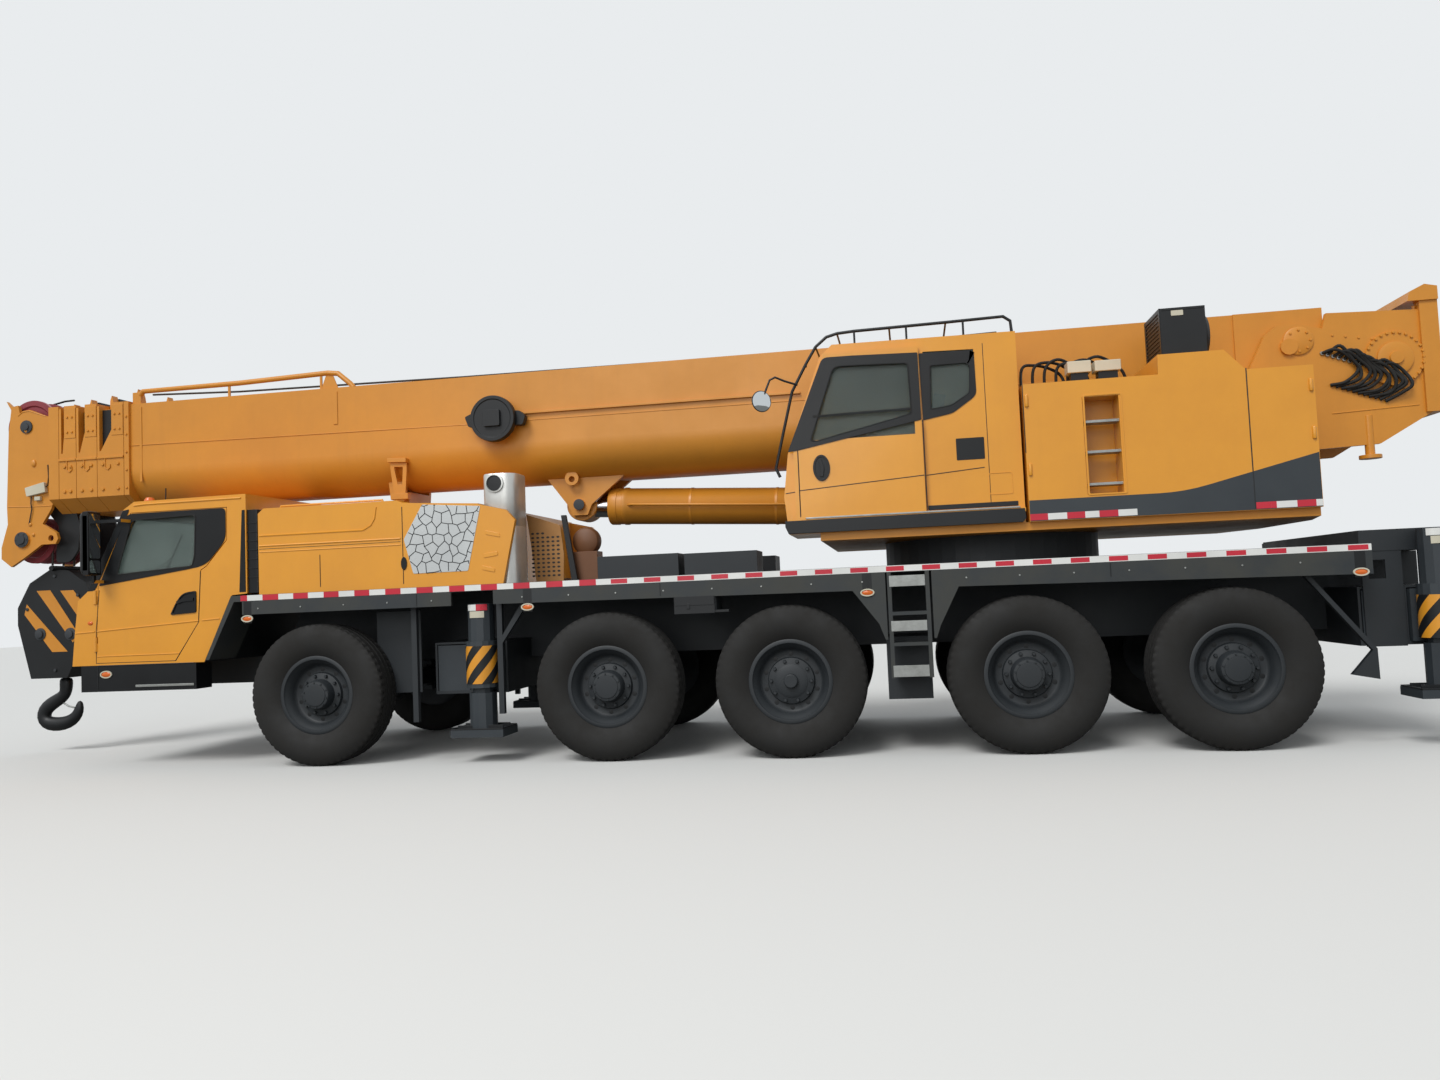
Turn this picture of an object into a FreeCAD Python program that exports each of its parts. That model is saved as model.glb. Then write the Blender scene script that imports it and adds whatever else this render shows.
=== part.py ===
# Five-axle mobile crane with a telescopic boom, in millimetres.
# Z points up, the crane faces -X and its left side is -Y.
# The origin lies on the ground below the middle of the whole crane.
import FreeCAD, Part
import math
import os
import Sketcher
from FreeCAD import Rotation, Vector

os.makedirs("parts", exist_ok=True)
doc = FreeCAD.newDocument("mobile_crane")

# The driving sizes, each with its name, its value and what it is.
SIZES = [
    ("axle3_x", 1570, "third axle"),
    ("span_12", 2905, "first to second axle"),
    ("span_23", 1695, "second to third axle"),
    ("span_34", 2064, "third to fourth axle"),
    ("span_45", 1686, "fourth to fifth axle"),
    ("tyre_r", 685, "tyre radius"),
    ("tyre_w", 390, "tyre width"),
    ("shoulder", 38, "bevel of a tyre's shoulder"),
    ("rim_back", 60, "back of the rim inside the tyre"),
    ("bead_r", 340, "radius where tyre and rim meet"),
    ("track_half", 1295, "middle of a wheel from the centre line"),
    ("fit", 0.3, "seating clearance"),
    ("run", 6, "clearance of moving pieces"),
    ("hub_r", 150, "wheel hub"),
    ("cap_r", 120, "planetary hub cap"),
    ("cap_out", 185, "driven hub cap beyond the wheel middle"),
    ("cap_flat", 95, "plain hub cap beyond the wheel middle"),
    ("disc_out", 70, "wheel disc face beyond the wheel middle"),
    ("pin_y", 1030, "kingpin from the centre line"),
    ("pin_r", 65, "kingpin boss"),
    ("boss_half", 125, "half height of the kingpin boss"),
    ("arm_thick", 45, "knuckle arm"),
    ("beam_half", 85, "half section of an axle beam"),
    ("diff_r", 215, "differential housing"),
    ("strut_y", 380, "suspension cylinder from the centre line"),
    ("strut_r", 65, "suspension cylinder"),
    ("frame_half", 450, "half width of the chassis girder"),
    ("frame_low", 940, "underside of the chassis girder"),
    ("frame_front", -5350, "front end of the chassis"),
    ("frame_rear", 7200, "rear end of the chassis"),
    ("nose_low", 760, "underside of the frame below the cab"),
    ("body_half", 1490, "half width over the deck"),
    ("deck_low", 1620, "underside of the deck plate"),
    ("deck_top", 1680, "top of the deck plate"),
    ("deck_front", -3770, "front end of the deck"),
    ("deck_rear", 6400, "rear end of the deck"),
    ("skirt_low", 1430, "lower edge of the deck skirt"),
    ("skirt_thick", 30, "deck skirt plate"),
    ("beam_w", 320, "width of an outrigger beam"),
    ("beam_tall", 440, "height of an outrigger beam"),
    ("box_wall", 20, "wall of an outrigger box"),
    ("box_gap", 10, "clearance round an outrigger beam"),
    ("beam_out", 1170, "outer end of an outrigger beam"),
    ("jack_y", 1290, "outrigger jack from the centre line"),
    ("front_jack_x", -1390, "left front jack"),
    ("rear_jack_x", 6960, "left rear jack"),
    ("front_beam_low", 665, "underside of a front outrigger beam"),
    ("rear_beam_low", 850, "underside of a rear outrigger beam"),
    ("sleeve_r", 150, "jack sleeve"),
    ("sleeve_thin", 125, "upper part of a jack sleeve"),
    ("front_sleeve_top", 1500, "top of a front jack sleeve"),
    ("rear_sleeve_top", 1790, "top of a rear jack sleeve"),
    ("jack_r", 100, "jack tube"),
    ("jack_foot_r", 130, "lower end of a jack tube"),
    ("pad_len", 520, "float pad along the crane"),
    ("pad_wide", 380, "float pad across the crane"),
    ("pad_thick", 70, "float pad"),
    ("front_pad_low", 250, "underside of a front float pad"),
    ("rear_pad_low", 400, "underside of a rear float pad"),
    ("cab_half", 1390, "half width of the driver's cab"),
    ("cab_wall", 60, "cab wall and door"),
    ("cab_low", 1040, "underside of the driver's cab"),
    ("cab_top", 2690, "roof of the driver's cab"),
    ("cab_rear", -3780, "rear wall of the driver's cab"),
    ("cab_nose", -5740, "front of the driver's cab"),
    ("pane", 8, "window pane"),
    ("bumper_low", 775, "underside of the bumper"),
    ("hood_front", -3610, "front of the engine hood"),
    ("hood_rear", -2030, "rear of the painted hood"),
    ("hood_half", 1450, "half width of the engine hood"),
    ("hood_top", 2525, "top of the engine hood"),
    ("grille_rear", -1320, "rear of the silver panel"),
    ("slew_x", 3495, "slewing axis"),
    ("ring_r", 1030, "slewing ring"),
    ("ring_top", 1930, "top of the slewing ring"),
    ("table_top", 2000, "top of the turntable plate"),
    ("cheek_in", 490, "inner face of a turntable cheek"),
    ("cheek_thick", 50, "turntable cheek"),
    ("foot_x", 6220, "boom foot pin"),
    ("foot_down", 360, "boom foot pin below the top of the boom"),
    ("foot_r", 75, "boom foot pin radius"),
    ("ram_x", 3770, "luffing cylinder base pin"),
    ("ram_z", 2260, "luffing cylinder base pin height"),
    ("ram_pin_r", 60, "luffing cylinder pins"),
    ("ram_r", 200, "luffing cylinder barrel"),
    ("ram_rod_r", 120, "luffing cylinder rod"),
    ("eye_r", 165, "eyes of the luffing cylinder"),
    ("eye_x", -700, "luffing cylinder rod eye"),
    ("eye_down", 260, "luffing cylinder rod eye below the boom"),
    ("tail_rear", 7490, "rear end of the superstructure"),
    ("ucab_front", 1590, "front of the operator's cab"),
    ("ucab_rear", 3685, "rear of the operator's cab"),
    ("ucab_top", 3695, "roof of the operator's cab"),
    ("ucab_out", 1440, "outer wall of the operator's cab"),
    ("ucab_in", 610, "inner wall of the operator's cab"),
    ("ucab_wall", 45, "walls of the operator's cab"),
    ("house_front", 3712, "front of the side housing"),
    ("house_rear", 6060, "rear of the side housing"),
    ("house_out", 1490, "outer face of the side housing"),
    ("house_in", 620, "inner face of the side housing"),
    ("house_top", 3190, "top of the side housing"),
    ("boom_half", 460, "half width of the base boom"),
    ("boom_low", 2760, "underside of the boom"),
    ("boom_top", 3900, "top of the boom"),
    ("boom_round", 400, "rounding of the boom's lower half"),
    ("boom_front", -5800, "front end of the base boom tube"),
    ("boom_rear", 6480, "rear end of the base boom tube"),
    ("boom_wall", 12, "wall of the boom sections"),
    ("boom_step", 32, "each section smaller than the one round it"),
    ("collar_out", 30, "head block beyond the tube"),
    ("flange", 60, "flange at the front of the base boom"),
    ("ledge_up", 555, "ledge of the head blocks above the underside of the boom"),
    ("cap_len", 148, "upper part of a head block"),
    ("reel_x", -1471, "cable reel on the boom"),
    ("reel_up", 645, "cable reel above the underside of the boom"),
    ("reel_r", 235, "cable reel"),
    ("column_x", 7330, "front of the tail columns"),
    ("column_top", 3890, "top of the tail columns"),
    ("platform_z", 2860, "underside of the tail platform"),
    ("winch_z", 3363, "axis of the hoist winch"),
    ("winch_r", 250, "flange of the hoist winch"),
    ("collar_gap", 6, "gap between two collars"),
    ("sheave_up_r", 320, "upper head sheave"),
    ("sheave_low_r", 265, "lower head sheaves"),
    ("head_half", 430, "half width over the boom head plates"),
    ("head_plate", 40, "boom head plate"),
    ("jib_pin_r", 35, "bore for a jib pin"),
    ("block_x", -7000, "middle of the hook block"),
    ("hang_down", 640, "pin of the hook block below the boom"),
    ("block_tall", 1260, "pin of the hook block to its underside"),
    ("block_half", 210, "half thickness of the hook block"),
    ("hook_half", 60, "half thickness of the hook"),
    ("mirror_out", 1640, "outer edge of the mirrors"),
]

sheet = doc.addObject("Spreadsheet::Sheet", "sizes")


class Len(float):
    """A length that keeps the formula it came from, so that a property can be bound to it."""

    def __new__(cls, number, text):
        made = super().__new__(cls, number)
        made.text = text
        return made

    def __add__(self, other):
        return Len(float(self) + float(other), "(%s + %s)" % (self.text, text_of(other)))

    def __radd__(self, other):
        return Len(float(other) + float(self), "(%s + %s)" % (text_of(other), self.text))

    def __sub__(self, other):
        return Len(float(self) - float(other), "(%s - %s)" % (self.text, text_of(other)))

    def __rsub__(self, other):
        return Len(float(other) - float(self), "(%s - %s)" % (text_of(other), self.text))

    def __mul__(self, other):
        return Len(float(self) * float(other), "(%s * %s)" % (self.text, text_of(other)))

    def __rmul__(self, other):
        return Len(float(other) * float(self), "(%s * %s)" % (text_of(other), self.text))

    def __truediv__(self, other):
        return Len(float(self) / float(other), "(%s / %s)" % (self.text, text_of(other)))

    def __neg__(self):
        return Len(-float(self), "(0 - %s)" % self.text)


def text_of(value):
    """The formula of a length, or the plain number."""
    if isinstance(value, Len):
        return value.text
    return "(%r)" % float(value) if value < 0 else "%r" % float(value)


class Names:
    """The sizes of the sheet by their names."""


s = Names()
for row, (word, value, meaning) in enumerate(SIZES, 1):
    sheet.set("A%d" % row, word)
    sheet.set("B%d" % row, str(value))
    sheet.setAlias("B%d" % row, word)
    sheet.set("C%d" % row, meaning)
    setattr(s, word, Len(value, "sizes." + word))
s.foot_z = s.boom_top - s.foot_down
s.eye_z = s.boom_low - s.eye_down
s.hang_z = s.boom_low - s.hang_down
doc.recompute()

NODES = []


def bind(obj, prop, value):
    """Binds a property to the formula of a length, or sets a plain number."""
    if isinstance(value, Len):
        obj.setExpression(prop, value.text)
    else:
        obj.setExpression(prop, repr(float(value)))


def place(obj, x=0, y=0, z=0):
    """Binds the three parts of an object's position."""
    bind(obj, "Placement.Base.x", x)
    bind(obj, "Placement.Base.y", y)
    bind(obj, "Placement.Base.z", z)
    return obj


def box(name, x0, x1, y0, y1, z0, z1):
    """Block between six faces."""
    made = doc.addObject("Part::Box", name)
    bind(made, "Length", x1 - x0)
    bind(made, "Width", y1 - y0)
    bind(made, "Height", z1 - z0)
    return place(made, x0, y0, z0)


def across(side, near, far):
    """Two distances from the centre line as a low and a high Y on the given side."""
    return (near, far) if side > 0 else (-far, -near)


def rod(name, axis, radius, x, y, z, length):
    """Round bar from a point along the X, Y or Z axis."""
    made = doc.addObject("Part::Cylinder", name)
    bind(made, "Radius", radius)
    bind(made, "Height", length)
    turned = {"x": Rotation(Vector(0, 1, 0), 90), "y": Rotation(Vector(1, 0, 0), -90), "z": Rotation()}
    made.Placement.Rotation = turned[axis]
    return place(made, x, y, z)


def bar(name, axis, sides, radius, x, y, z, length):
    """Bar of regular section with a corner straight down or up, from a point along X, Y or Z."""
    made = doc.addObject("Part::Prism", name)
    made.Polygon = sides
    bind(made, "Circumradius", radius)
    bind(made, "Height", length)
    turned = {"x": Rotation(Vector(0, 1, 0), 90), "y": Rotation(Vector(1, 0, 0), -90), "z": Rotation()}
    made.Placement.Rotation = turned[axis]
    return place(made, x, y, z)


def disc(name, parts, x, y, z):
    """Coaxial regular discs along Y: sides, radius, start, end, with negative radius for a hole."""
    body = doc.addObject("PartDesign::Body", name)
    for k, (sides, radius, start, stop) in enumerate(parts):
        kind = "PartDesign::AdditivePrism" if radius > 0 else "PartDesign::SubtractivePrism"
        made = body.newObject(kind, "%s_%d" % (name, k))
        made.Polygon = sides
        bind(made, "Circumradius", radius if radius > 0 else -radius)
        bind(made, "Height", stop - start)
        bind(made, "Placement.Base.z", start)
    body.Placement.Rotation = Rotation(Vector(1, 0, 0), -90)
    return place(body, x, y, z)


def bevel(body, name, size):
    """Bevels all edges of the two ends of a disc's last step."""
    doc.recompute()
    base = body.Tip
    ends = [(f.CenterOfMass.z, "Face%d" % (i + 1)) for i, f in enumerate(base.Shape.Faces)
            if abs(f.normalAt(0, 0).z) > 0.99]
    cut = body.newObject("PartDesign::Chamfer", name)
    cut.Base = (base, [min(ends)[1], max(ends)[1]])
    bind(cut, "Size", size)
    return body


def hypot(a, b):
    """Length of the slanted side over two square sides."""
    return Len((float(a) ** 2 + float(b) ** 2) ** 0.5, "sqrt(%s ^ 2 + %s ^ 2)" % (text_of(a), text_of(b)))


def outline(body, name, plane, points, offset):
    """Closed outline whose corners are all held by named distances from the body's origin."""
    sketch = body.newObject("Sketcher::SketchObject", name)
    support = [f for f in body.Origin.OriginFeatures if f.Role == plane + "_Plane"][0]
    sketch.AttachmentSupport = (support, [""])
    sketch.MapMode = "FlatFace"
    bind(sketch, "AttachmentOffset.Base.z", offset)
    count = len(points)
    lines = []
    for i in range(count):
        a, b = points[i], points[(i + 1) % count]
        lines.append(Part.LineSegment(Vector(a[0], a[1], 0), Vector(b[0], b[1], 0)))
    sketch.addGeometry(lines, False)
    rules = [Sketcher.Constraint("Coincident", i, 2, (i + 1) % count, 1) for i in range(count)]
    for i, point in enumerate(points):
        rules.append(Sketcher.Constraint("DistanceX", -1, 1, i, 1, float(point[0])))
        rules.append(Sketcher.Constraint("DistanceY", -1, 1, i, 1, float(point[1])))
    sketch.addConstraint(rules)
    for i, point in enumerate(points):
        for k in (0, 1):
            if isinstance(point[k], Len):
                sketch.setExpression("Constraints[%d]" % (count + 2 * i + k), point[k].text)
    return sketch


def prism(name, plane, points, low, high):
    """Outline in the XY, XZ or YZ plane, padded between two distances along the third axis."""
    body = doc.addObject("PartDesign::Body", name)
    pad = body.newObject("PartDesign::Pad", name + "_pad")
    pad.Profile = outline(body, name + "_outline", plane, points, -high if plane == "XZ" else low)
    bind(pad, "Length", high - low)
    return body


def pocket(body, name, plane, points, low, high):
    """Outline cut out of a body between two distances along the third axis."""
    doc.recompute()
    before = body.Shape.Volume
    cut = body.newObject("PartDesign::Pocket", name)
    cut.Profile = outline(body, name + "_outline", plane, points, -high if plane == "XZ" else low)
    cut.Reversed = True
    bind(cut, "Length", high - low)
    doc.recompute()
    if not body.Shape.Volume < before - 1:
        raise ValueError(name + " cuts nothing")
    return body


def turned(name, profile, x, y, z):
    """Profile of (Y, radius) points turned about a line along Y through the given point."""
    body = doc.addObject("PartDesign::Body", name)
    sketch = outline(body, name + "_profile", "YZ", profile, 0)
    made = body.newObject("PartDesign::Revolution", name + "_turn")
    made.Profile = sketch
    made.ReferenceAxis = (sketch, ["H_Axis"])
    made.Angle = 360
    return place(body, x, y, z)


def fuse(name, *pieces):
    """One solid of several touching pieces."""
    made = doc.addObject("Part::MultiFuse", name)
    made.Shapes = list(pieces)
    made.Refine = True
    return made


def cut(name, base, *tools):
    """A piece less one or more others."""
    tool = tools[0] if len(tools) == 1 else fuse(name + "_tools", *tools)
    made = doc.addObject("Part::Cut", name)
    made.Base = base
    made.Tool = tool
    made.Refine = True
    return made


def group(name, *pieces):
    """Separate solids of one node."""
    made = doc.addObject("Part::Compound", name)
    made.Links = list(pieces)
    return made


def node(obj, label):
    """Names a finished sub-part after its file."""
    obj.Label = label
    NODES.append(obj)
    return obj


SIDES = ((-1, "left"), (1, "right"))

# Axles: number, X, steered, driven
AXLES = (
    (1, s.axle3_x - s.span_23 - s.span_12, True, True),
    (2, s.axle3_x - s.span_23, True, True),
    (3, s.axle3_x, False, False),
    (4, s.axle3_x + s.span_34, True, True),
    (5, s.axle3_x + s.span_34 + s.span_45, True, True),
)

# Axle beams with differential housings, kingpin bosses and suspension cylinders
hub_in = s.track_half - s.tyre_w / 2 + s.rim_back
beams = []
for number, x, steered, driven in AXLES:
    tag = "axle%d" % number
    half = s.pin_y if steered else hub_in - s.fit
    solids = [box(tag + "_beam", x - s.beam_half, x + s.beam_half, -half, half,
                  s.tyre_r - s.beam_half, s.tyre_r + s.beam_half)]
    if driven:
        solids.append(bar(tag + "_diff", "y", 10, s.diff_r, x, -s.diff_r * 0.6, s.tyre_r, s.diff_r * 1.2))
    for side, word in SIDES:
        lift = s.frame_low - s.tyre_r - s.fit
        solids.append(bar(tag + "_strut_" + word, "z", 6, s.strut_r, x, side * s.strut_y, s.tyre_r, lift))
        if steered:
            solids.append(bar(tag + "_boss_" + word, "z", 8, s.pin_r, x, side * s.pin_y,
                              s.tyre_r - s.boss_half, s.boss_half * 2))
    beams.append(fuse(tag + "_set", *solids))
node(group("axles", *beams), "axle_beams")

# Knuckles: arms above and below the boss, a wall beyond it and the wheel flange
for number, x, steered, driven in AXLES:
    if not steered:
        continue
    for side, word in SIDES:
        tag = "knuckle%d_%s" % (number, word)
        wall_in = s.pin_y + s.pin_r + s.run
        reach = s.boss_half + s.arm_thick + s.fit
        y0, y1 = across(side, wall_in, hub_in - s.fit)
        solids = [box(tag + "_wall", x - s.pin_r, x + s.pin_r, y0, y1, s.tyre_r - reach, s.tyre_r + reach)]
        y0, y1 = across(side, s.pin_y - s.pin_r, wall_in)
        for level, z0 in (("top", s.tyre_r + s.boss_half + s.fit), ("low", s.tyre_r - reach)):
            solids.append(box(tag + "_" + level, x - s.pin_r, x + s.pin_r, y0, y1, z0, z0 + s.arm_thick))
        node(fuse(tag + "_piece", *solids), "knuckle_%d_%s" % (number, word))

# Wheels: a tyre with bevelled shoulders and a rim with its hub cap, seated on each other
for number, x, steered, driven in AXLES:
    for side, word in SIDES:
        tag = "wheel%d_%s" % (number, word)
        half = s.tyre_w / 2
        mid = side * s.track_half
        tyre = disc(tag + "_tyre", [(28, s.tyre_r, -half, half)], x, mid, s.tyre_r)
        bevel(tyre, tag + "_shoulder", s.shoulder)
        hole = tyre.newObject("PartDesign::SubtractivePrism", tag + "_seat")
        hole.Polygon = 28
        bind(hole, "Circumradius", s.bead_r)
        bind(hole, "Height", s.tyre_w + 2)
        bind(hole, "Placement.Base.z", -half - 1)
        cap = s.cap_r if driven else s.hub_r
        out = s.cap_out if driven else s.cap_flat
        a0, a1 = across(side, -half + s.rim_back, s.disc_out)
        b0, b1 = across(side, s.disc_out - 20, out)
        rim = disc(tag + "_rim", [(28, s.bead_r - s.fit, a0, a1), (12, cap, b0, b1)], x, mid, s.tyre_r)
        node(group(tag + "_set", tyre, rim), "wheel_%d_%s" % (number, word))

# Chassis girder with the two outrigger boxes across it
girder = prism("girder", "XZ", [
    (s.frame_front, s.nose_low), (s.cab_rear - 200, s.nose_low), (s.cab_rear + 60, s.frame_low),
    (s.frame_rear, s.frame_low), (s.frame_rear, (s.deck_low - s.fit)), (s.cab_rear + 60, (s.deck_low - s.fit)),
    (s.cab_rear - 200, s.cab_low - s.fit), (s.frame_front, s.cab_low - s.fit)], -s.frame_half, s.frame_half)
# Outriggers: end, X of the left jack, underside of the beams, underside of the pads, top of the sleeves
OUTRIGGERS = (
    ("front", s.front_jack_x, s.front_beam_low, s.front_pad_low, s.front_sleeve_top),
    ("rear", s.rear_jack_x, s.rear_beam_low, s.rear_pad_low, s.rear_sleeve_top),
)
pitch = s.beam_w + s.box_gap * 2 + s.box_wall
shells, cells = [girder], []
for end, left_x, low, pad_low, sleeve_top in OUTRIGGERS:
    x1 = left_x + s.beam_w / 2 + s.box_gap + s.box_wall
    x0 = x1 - pitch * 2 - s.box_wall
    z0 = low - s.box_gap - s.box_wall
    z1 = low + s.beam_tall + s.box_gap + s.box_wall
    shells.append(box(end + "_shell", x0, x1, -s.beam_out + 40, s.beam_out - 40, z0, z1))
    for k in (0, 1):
        cx = left_x - pitch * k
        reach = s.beam_w / 2 + s.box_gap
        cells.append(box("%s_cell%d" % (end, k), cx - reach, cx + reach, -s.beam_out, s.beam_out,
                         low - s.fit, low + s.beam_tall + s.box_gap))
node(cut("frame", fuse("frame_solid", *shells), *cells), "chassis_frame")

# Outrigger beams with their jack sleeves, and the jacks with their float pads
for end, left_x, low, pad_low, sleeve_top in OUTRIGGERS:
    for side, word in SIDES:
        tag = "outrigger_%s_%s" % (end, word)
        cx = left_x if side < 0 else left_x - pitch
        y0, y1 = (-s.beam_out, s.beam_out - 40) if side < 0 else (-s.beam_out + 40, s.beam_out)
        beam = box(tag + "_bar", cx - s.beam_w / 2, cx + s.beam_w / 2, y0, y1, low, low + s.beam_tall)
        jy = side * s.jack_y
        sleeve = bar(tag + "_sleeve", "z", 16, s.sleeve_r, cx, jy, low + 40, s.beam_tall)
        thin = bar(tag + "_thin", "z", 12, s.sleeve_thin, cx, jy, low + s.beam_tall, sleeve_top - low - s.beam_tall)
        bore = bar(tag + "_bore", "z", 12, s.jack_r + s.fit * 1.5, cx, jy, low, sleeve_top - low - 20)
        node(cut(tag + "_piece", fuse(tag + "_solid", beam, sleeve, thin), bore), "outrigger_beam_%s_%s" % (end, word))
        tube = bar(tag + "_tube", "z", 12, s.jack_r, cx, jy, pad_low + s.pad_thick,
                   sleeve_top - 60 - pad_low - s.pad_thick)
        foot = bar(tag + "_foot", "z", 12, s.jack_foot_r, cx, jy, pad_low + s.pad_thick,
                   low - 8 - pad_low - s.pad_thick)
        pad = box(tag + "_pad", cx - s.pad_len / 2, cx + s.pad_len / 2, jy - s.pad_wide / 2,
                  jy + s.pad_wide / 2, pad_low, pad_low + s.pad_thick)
        node(fuse(tag + "_jack", tube, foot, pad), "outrigger_jack_%s_%s" % (end, word))

# Deck: sheet, and seated under it the skirts with the jack notch and the wings beside the ladders, and the ladders
plates = [box("deck_sheet", s.deck_front, s.deck_rear, -s.body_half, s.body_half, s.deck_low, s.deck_top)]
bay = s.axle3_x + s.span_34 / 2
under = s.deck_low - s.fit
low = s.skirt_low
for side, word in SIDES:
    y0, y1 = across(side, s.body_half - s.skirt_thick, s.body_half)
    jx = s.front_jack_x if side < 0 else s.front_jack_x - pitch
    plates.append(box("skirt_front_" + word, s.deck_front, jx - 215, y0, y1, low + 60, under))
    plates.append(prism("skirt_middle_" + word, "XZ", [
        (jx + 205, under), (jx + 205, low + 60), (bay - 440, low + 40), (bay - 220, low - 260),
        (bay - 170, low - 400), (bay - 150, low - 400), (bay - 150, under)], y0, y1))
    plates.append(prism("skirt_rear_" + word, "XZ", [
        (bay + 250, under), (bay + 250, low - 400), (bay + 270, low - 400), (bay + 310, low - 290),
        (bay + 480, low + 40), (s.deck_rear, low), (s.deck_rear, under)], y0, y1))
    g0, g1 = across(side, 1000, s.cab_half + 40)
    edge = s.deck_front - s.fit
    plates.append(prism("mudguard_" + word, "XZ", [
        (edge, s.deck_low), (edge, s.deck_top), (s.deck_front - 160, s.deck_top), (s.cab_rear - 440, s.cab_low + 20),
        (s.cab_rear - 400, s.cab_low + 20), (s.deck_front - 130, s.deck_low)], g0, g1))
    r0, r1 = across(side, s.body_half - 60, s.body_half)
    steps = [box("rail%d_%s" % (k, word), rx, rx + 35, r0, r1, s.tyre_r + 5, under)
             for k, rx in enumerate((bay - 135, bay + 195))]
    t0, t1 = across(side, s.body_half - 240, s.body_half)
    for k in range(3):
        z = s.tyre_r + 15 + 270 * k
        steps.append(box("tread%d_%s" % (k, word), bay - 105, bay + 200, t0, t1, z, z + 30))
    plates.append(fuse("ladder_" + word, *steps))
node(group("deck", *plates), "deck_plates")

# Driver's cab: shell of walls, floor and roof with window and door openings
top = s.cab_top
cab = prism("cab_shell", "XZ", [
    (s.cab_nose, s.cab_low), (s.cab_nose + 30, s.cab_low + 330), (s.cab_nose + 70, s.cab_low + 660),
    (s.cab_nose + 180, s.cab_low + 750), (s.cab_nose + 600, top - 85), (s.cab_nose + 720, top - 10),
    (s.cab_rear, top), (s.cab_rear, s.deck_top + 20), (s.cab_rear - 165, s.deck_top + 10),
    (s.cab_rear - 480, s.cab_low)], -s.cab_half, s.cab_half)
t = s.cab_wall
pocket(cab, "cab_room", "XZ", [
    (s.cab_nose + 30 + t, s.cab_low + t), (s.cab_nose + 60 + t, s.cab_low + 650), (s.cab_nose + 185 + t, s.cab_low + 750),
    (s.cab_nose + 590 + t, top - 75 - t), (s.cab_nose + 720 + t, top - 10 - t), (s.cab_rear - t, top - t),
    (s.cab_rear - t, s.deck_top + 20 + t), (s.cab_rear - 200, s.deck_top + 10 + t),
    (s.cab_rear - 520, s.cab_low + t)], -s.cab_half + t, s.cab_half - t)
pocket(cab, "screen_hole", "XZ", [
    (s.cab_nose + 180, s.cab_low + 800), (s.cab_nose + 560, top - 135), (s.cab_nose + 760, top - 200),
    (s.cab_nose + 330, s.cab_low + 760)], -s.cab_half + 130, s.cab_half - 130)
door_x0 = s.cab_nose + 270


def door_outline(gap):
    """Outline of the driver's door, smaller by a gap all round."""
    return [
        (door_x0 + gap, s.cab_low + 20 + gap), (s.cab_rear - 790 - gap, s.cab_low + 20 + gap),
        (s.cab_rear - 530 - gap, s.cab_low + 400), (s.cab_rear - 500 - gap, s.cab_low + 910 + gap),
        (s.cab_rear - 435 - gap, s.cab_low + 950 + gap), (s.cab_rear - 210 - gap, s.cab_low + 1200 + gap),
        (s.cab_rear - 205 - gap, top - 120 - gap), (s.cab_nose + 680 + gap, top - 120 - gap),
        (s.cab_nose + 300 + gap, s.cab_low + 790)]


def door_window(gap):
    """Outline of the driver's door window, smaller by a gap all round."""
    return [
        (s.cab_nose + 380 + gap, s.cab_low + 810 + gap), (s.cab_rear - 520 - gap, s.cab_low + 945 + gap),
        (s.cab_rear - 460 - gap, s.cab_low + 990), (s.cab_rear - 255 - gap, s.cab_low + 1215),
        (s.cab_rear - 250 - gap, top - 165 - gap), (s.cab_nose + 705 + gap, top - 165 - gap)]


for side, word in SIDES:
    y0, y1 = across(side, s.cab_half - t - 1, s.cab_half + 1)
    pocket(cab, "door_hole_" + word, "XZ", door_outline(Len(0, "0")), y0, y1)


def hinges(side, word, name, start, length, wide):
    """Knuckles of both door hinges, or square voids of a given width round them."""
    made = []
    for k, z in enumerate((s.cab_low + 140, s.cab_low + 620)):
        tag = "%s%d_%s" % (name, k, word)
        if wide:
            y0, y1 = across(side, s.cab_half - wide, s.cab_half + 1)
            made.append(box(tag, door_x0 - wide, door_x0 + wide, y0, y1, z + start, z + start + length))
        else:
            made.append(bar(tag, "z", 12, 17, door_x0, side * s.cab_half, z + start, length))
    return made


voids, leaves = [], []
for side, word in SIDES:
    voids += hinges(side, word, "cab_void", -3, 83 + s.fit, 22)
    leaves += hinges(side, word, "cab_knuckle", 80 + s.fit, 60, 0)
node(fuse("cab", cut("cab_notched", cab, *voids), *leaves), "carrier_cab")


def mirror(side, word):
    """Mirror on a lower and an upper arm from the door's front edge."""
    x0, x1 = s.cab_nose + 345, s.cab_nose + 405
    z0, z1 = s.cab_low + 910, s.cab_low + 1540
    y0, y1 = across(side, s.mirror_out - 170, s.mirror_out)
    a0, a1 = across(side, s.cab_half - 30, s.mirror_out - 110)
    u0, u1 = across(side, s.mirror_out - 140, s.mirror_out - 110)
    return [
        box("mirror_head_" + word, x0, x1, y0, y1, z0, z1),
        box("mirror_low_" + word, x0, x0 + 30, a0, a1, z0 - 80, z0 - 50),
        box("mirror_post_" + word, x0, x0 + 30, u0, u1, z0 - 80, z0 + 20),
        box("mirror_high_" + word, x1 + 250, x1 + 280, a0, a1, z1 - 110, z1 - 80),
        box("mirror_bar_" + word, x1 - 20, x1 + 280, u0, u1, z1 - 110, z1 - 80)]


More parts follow.
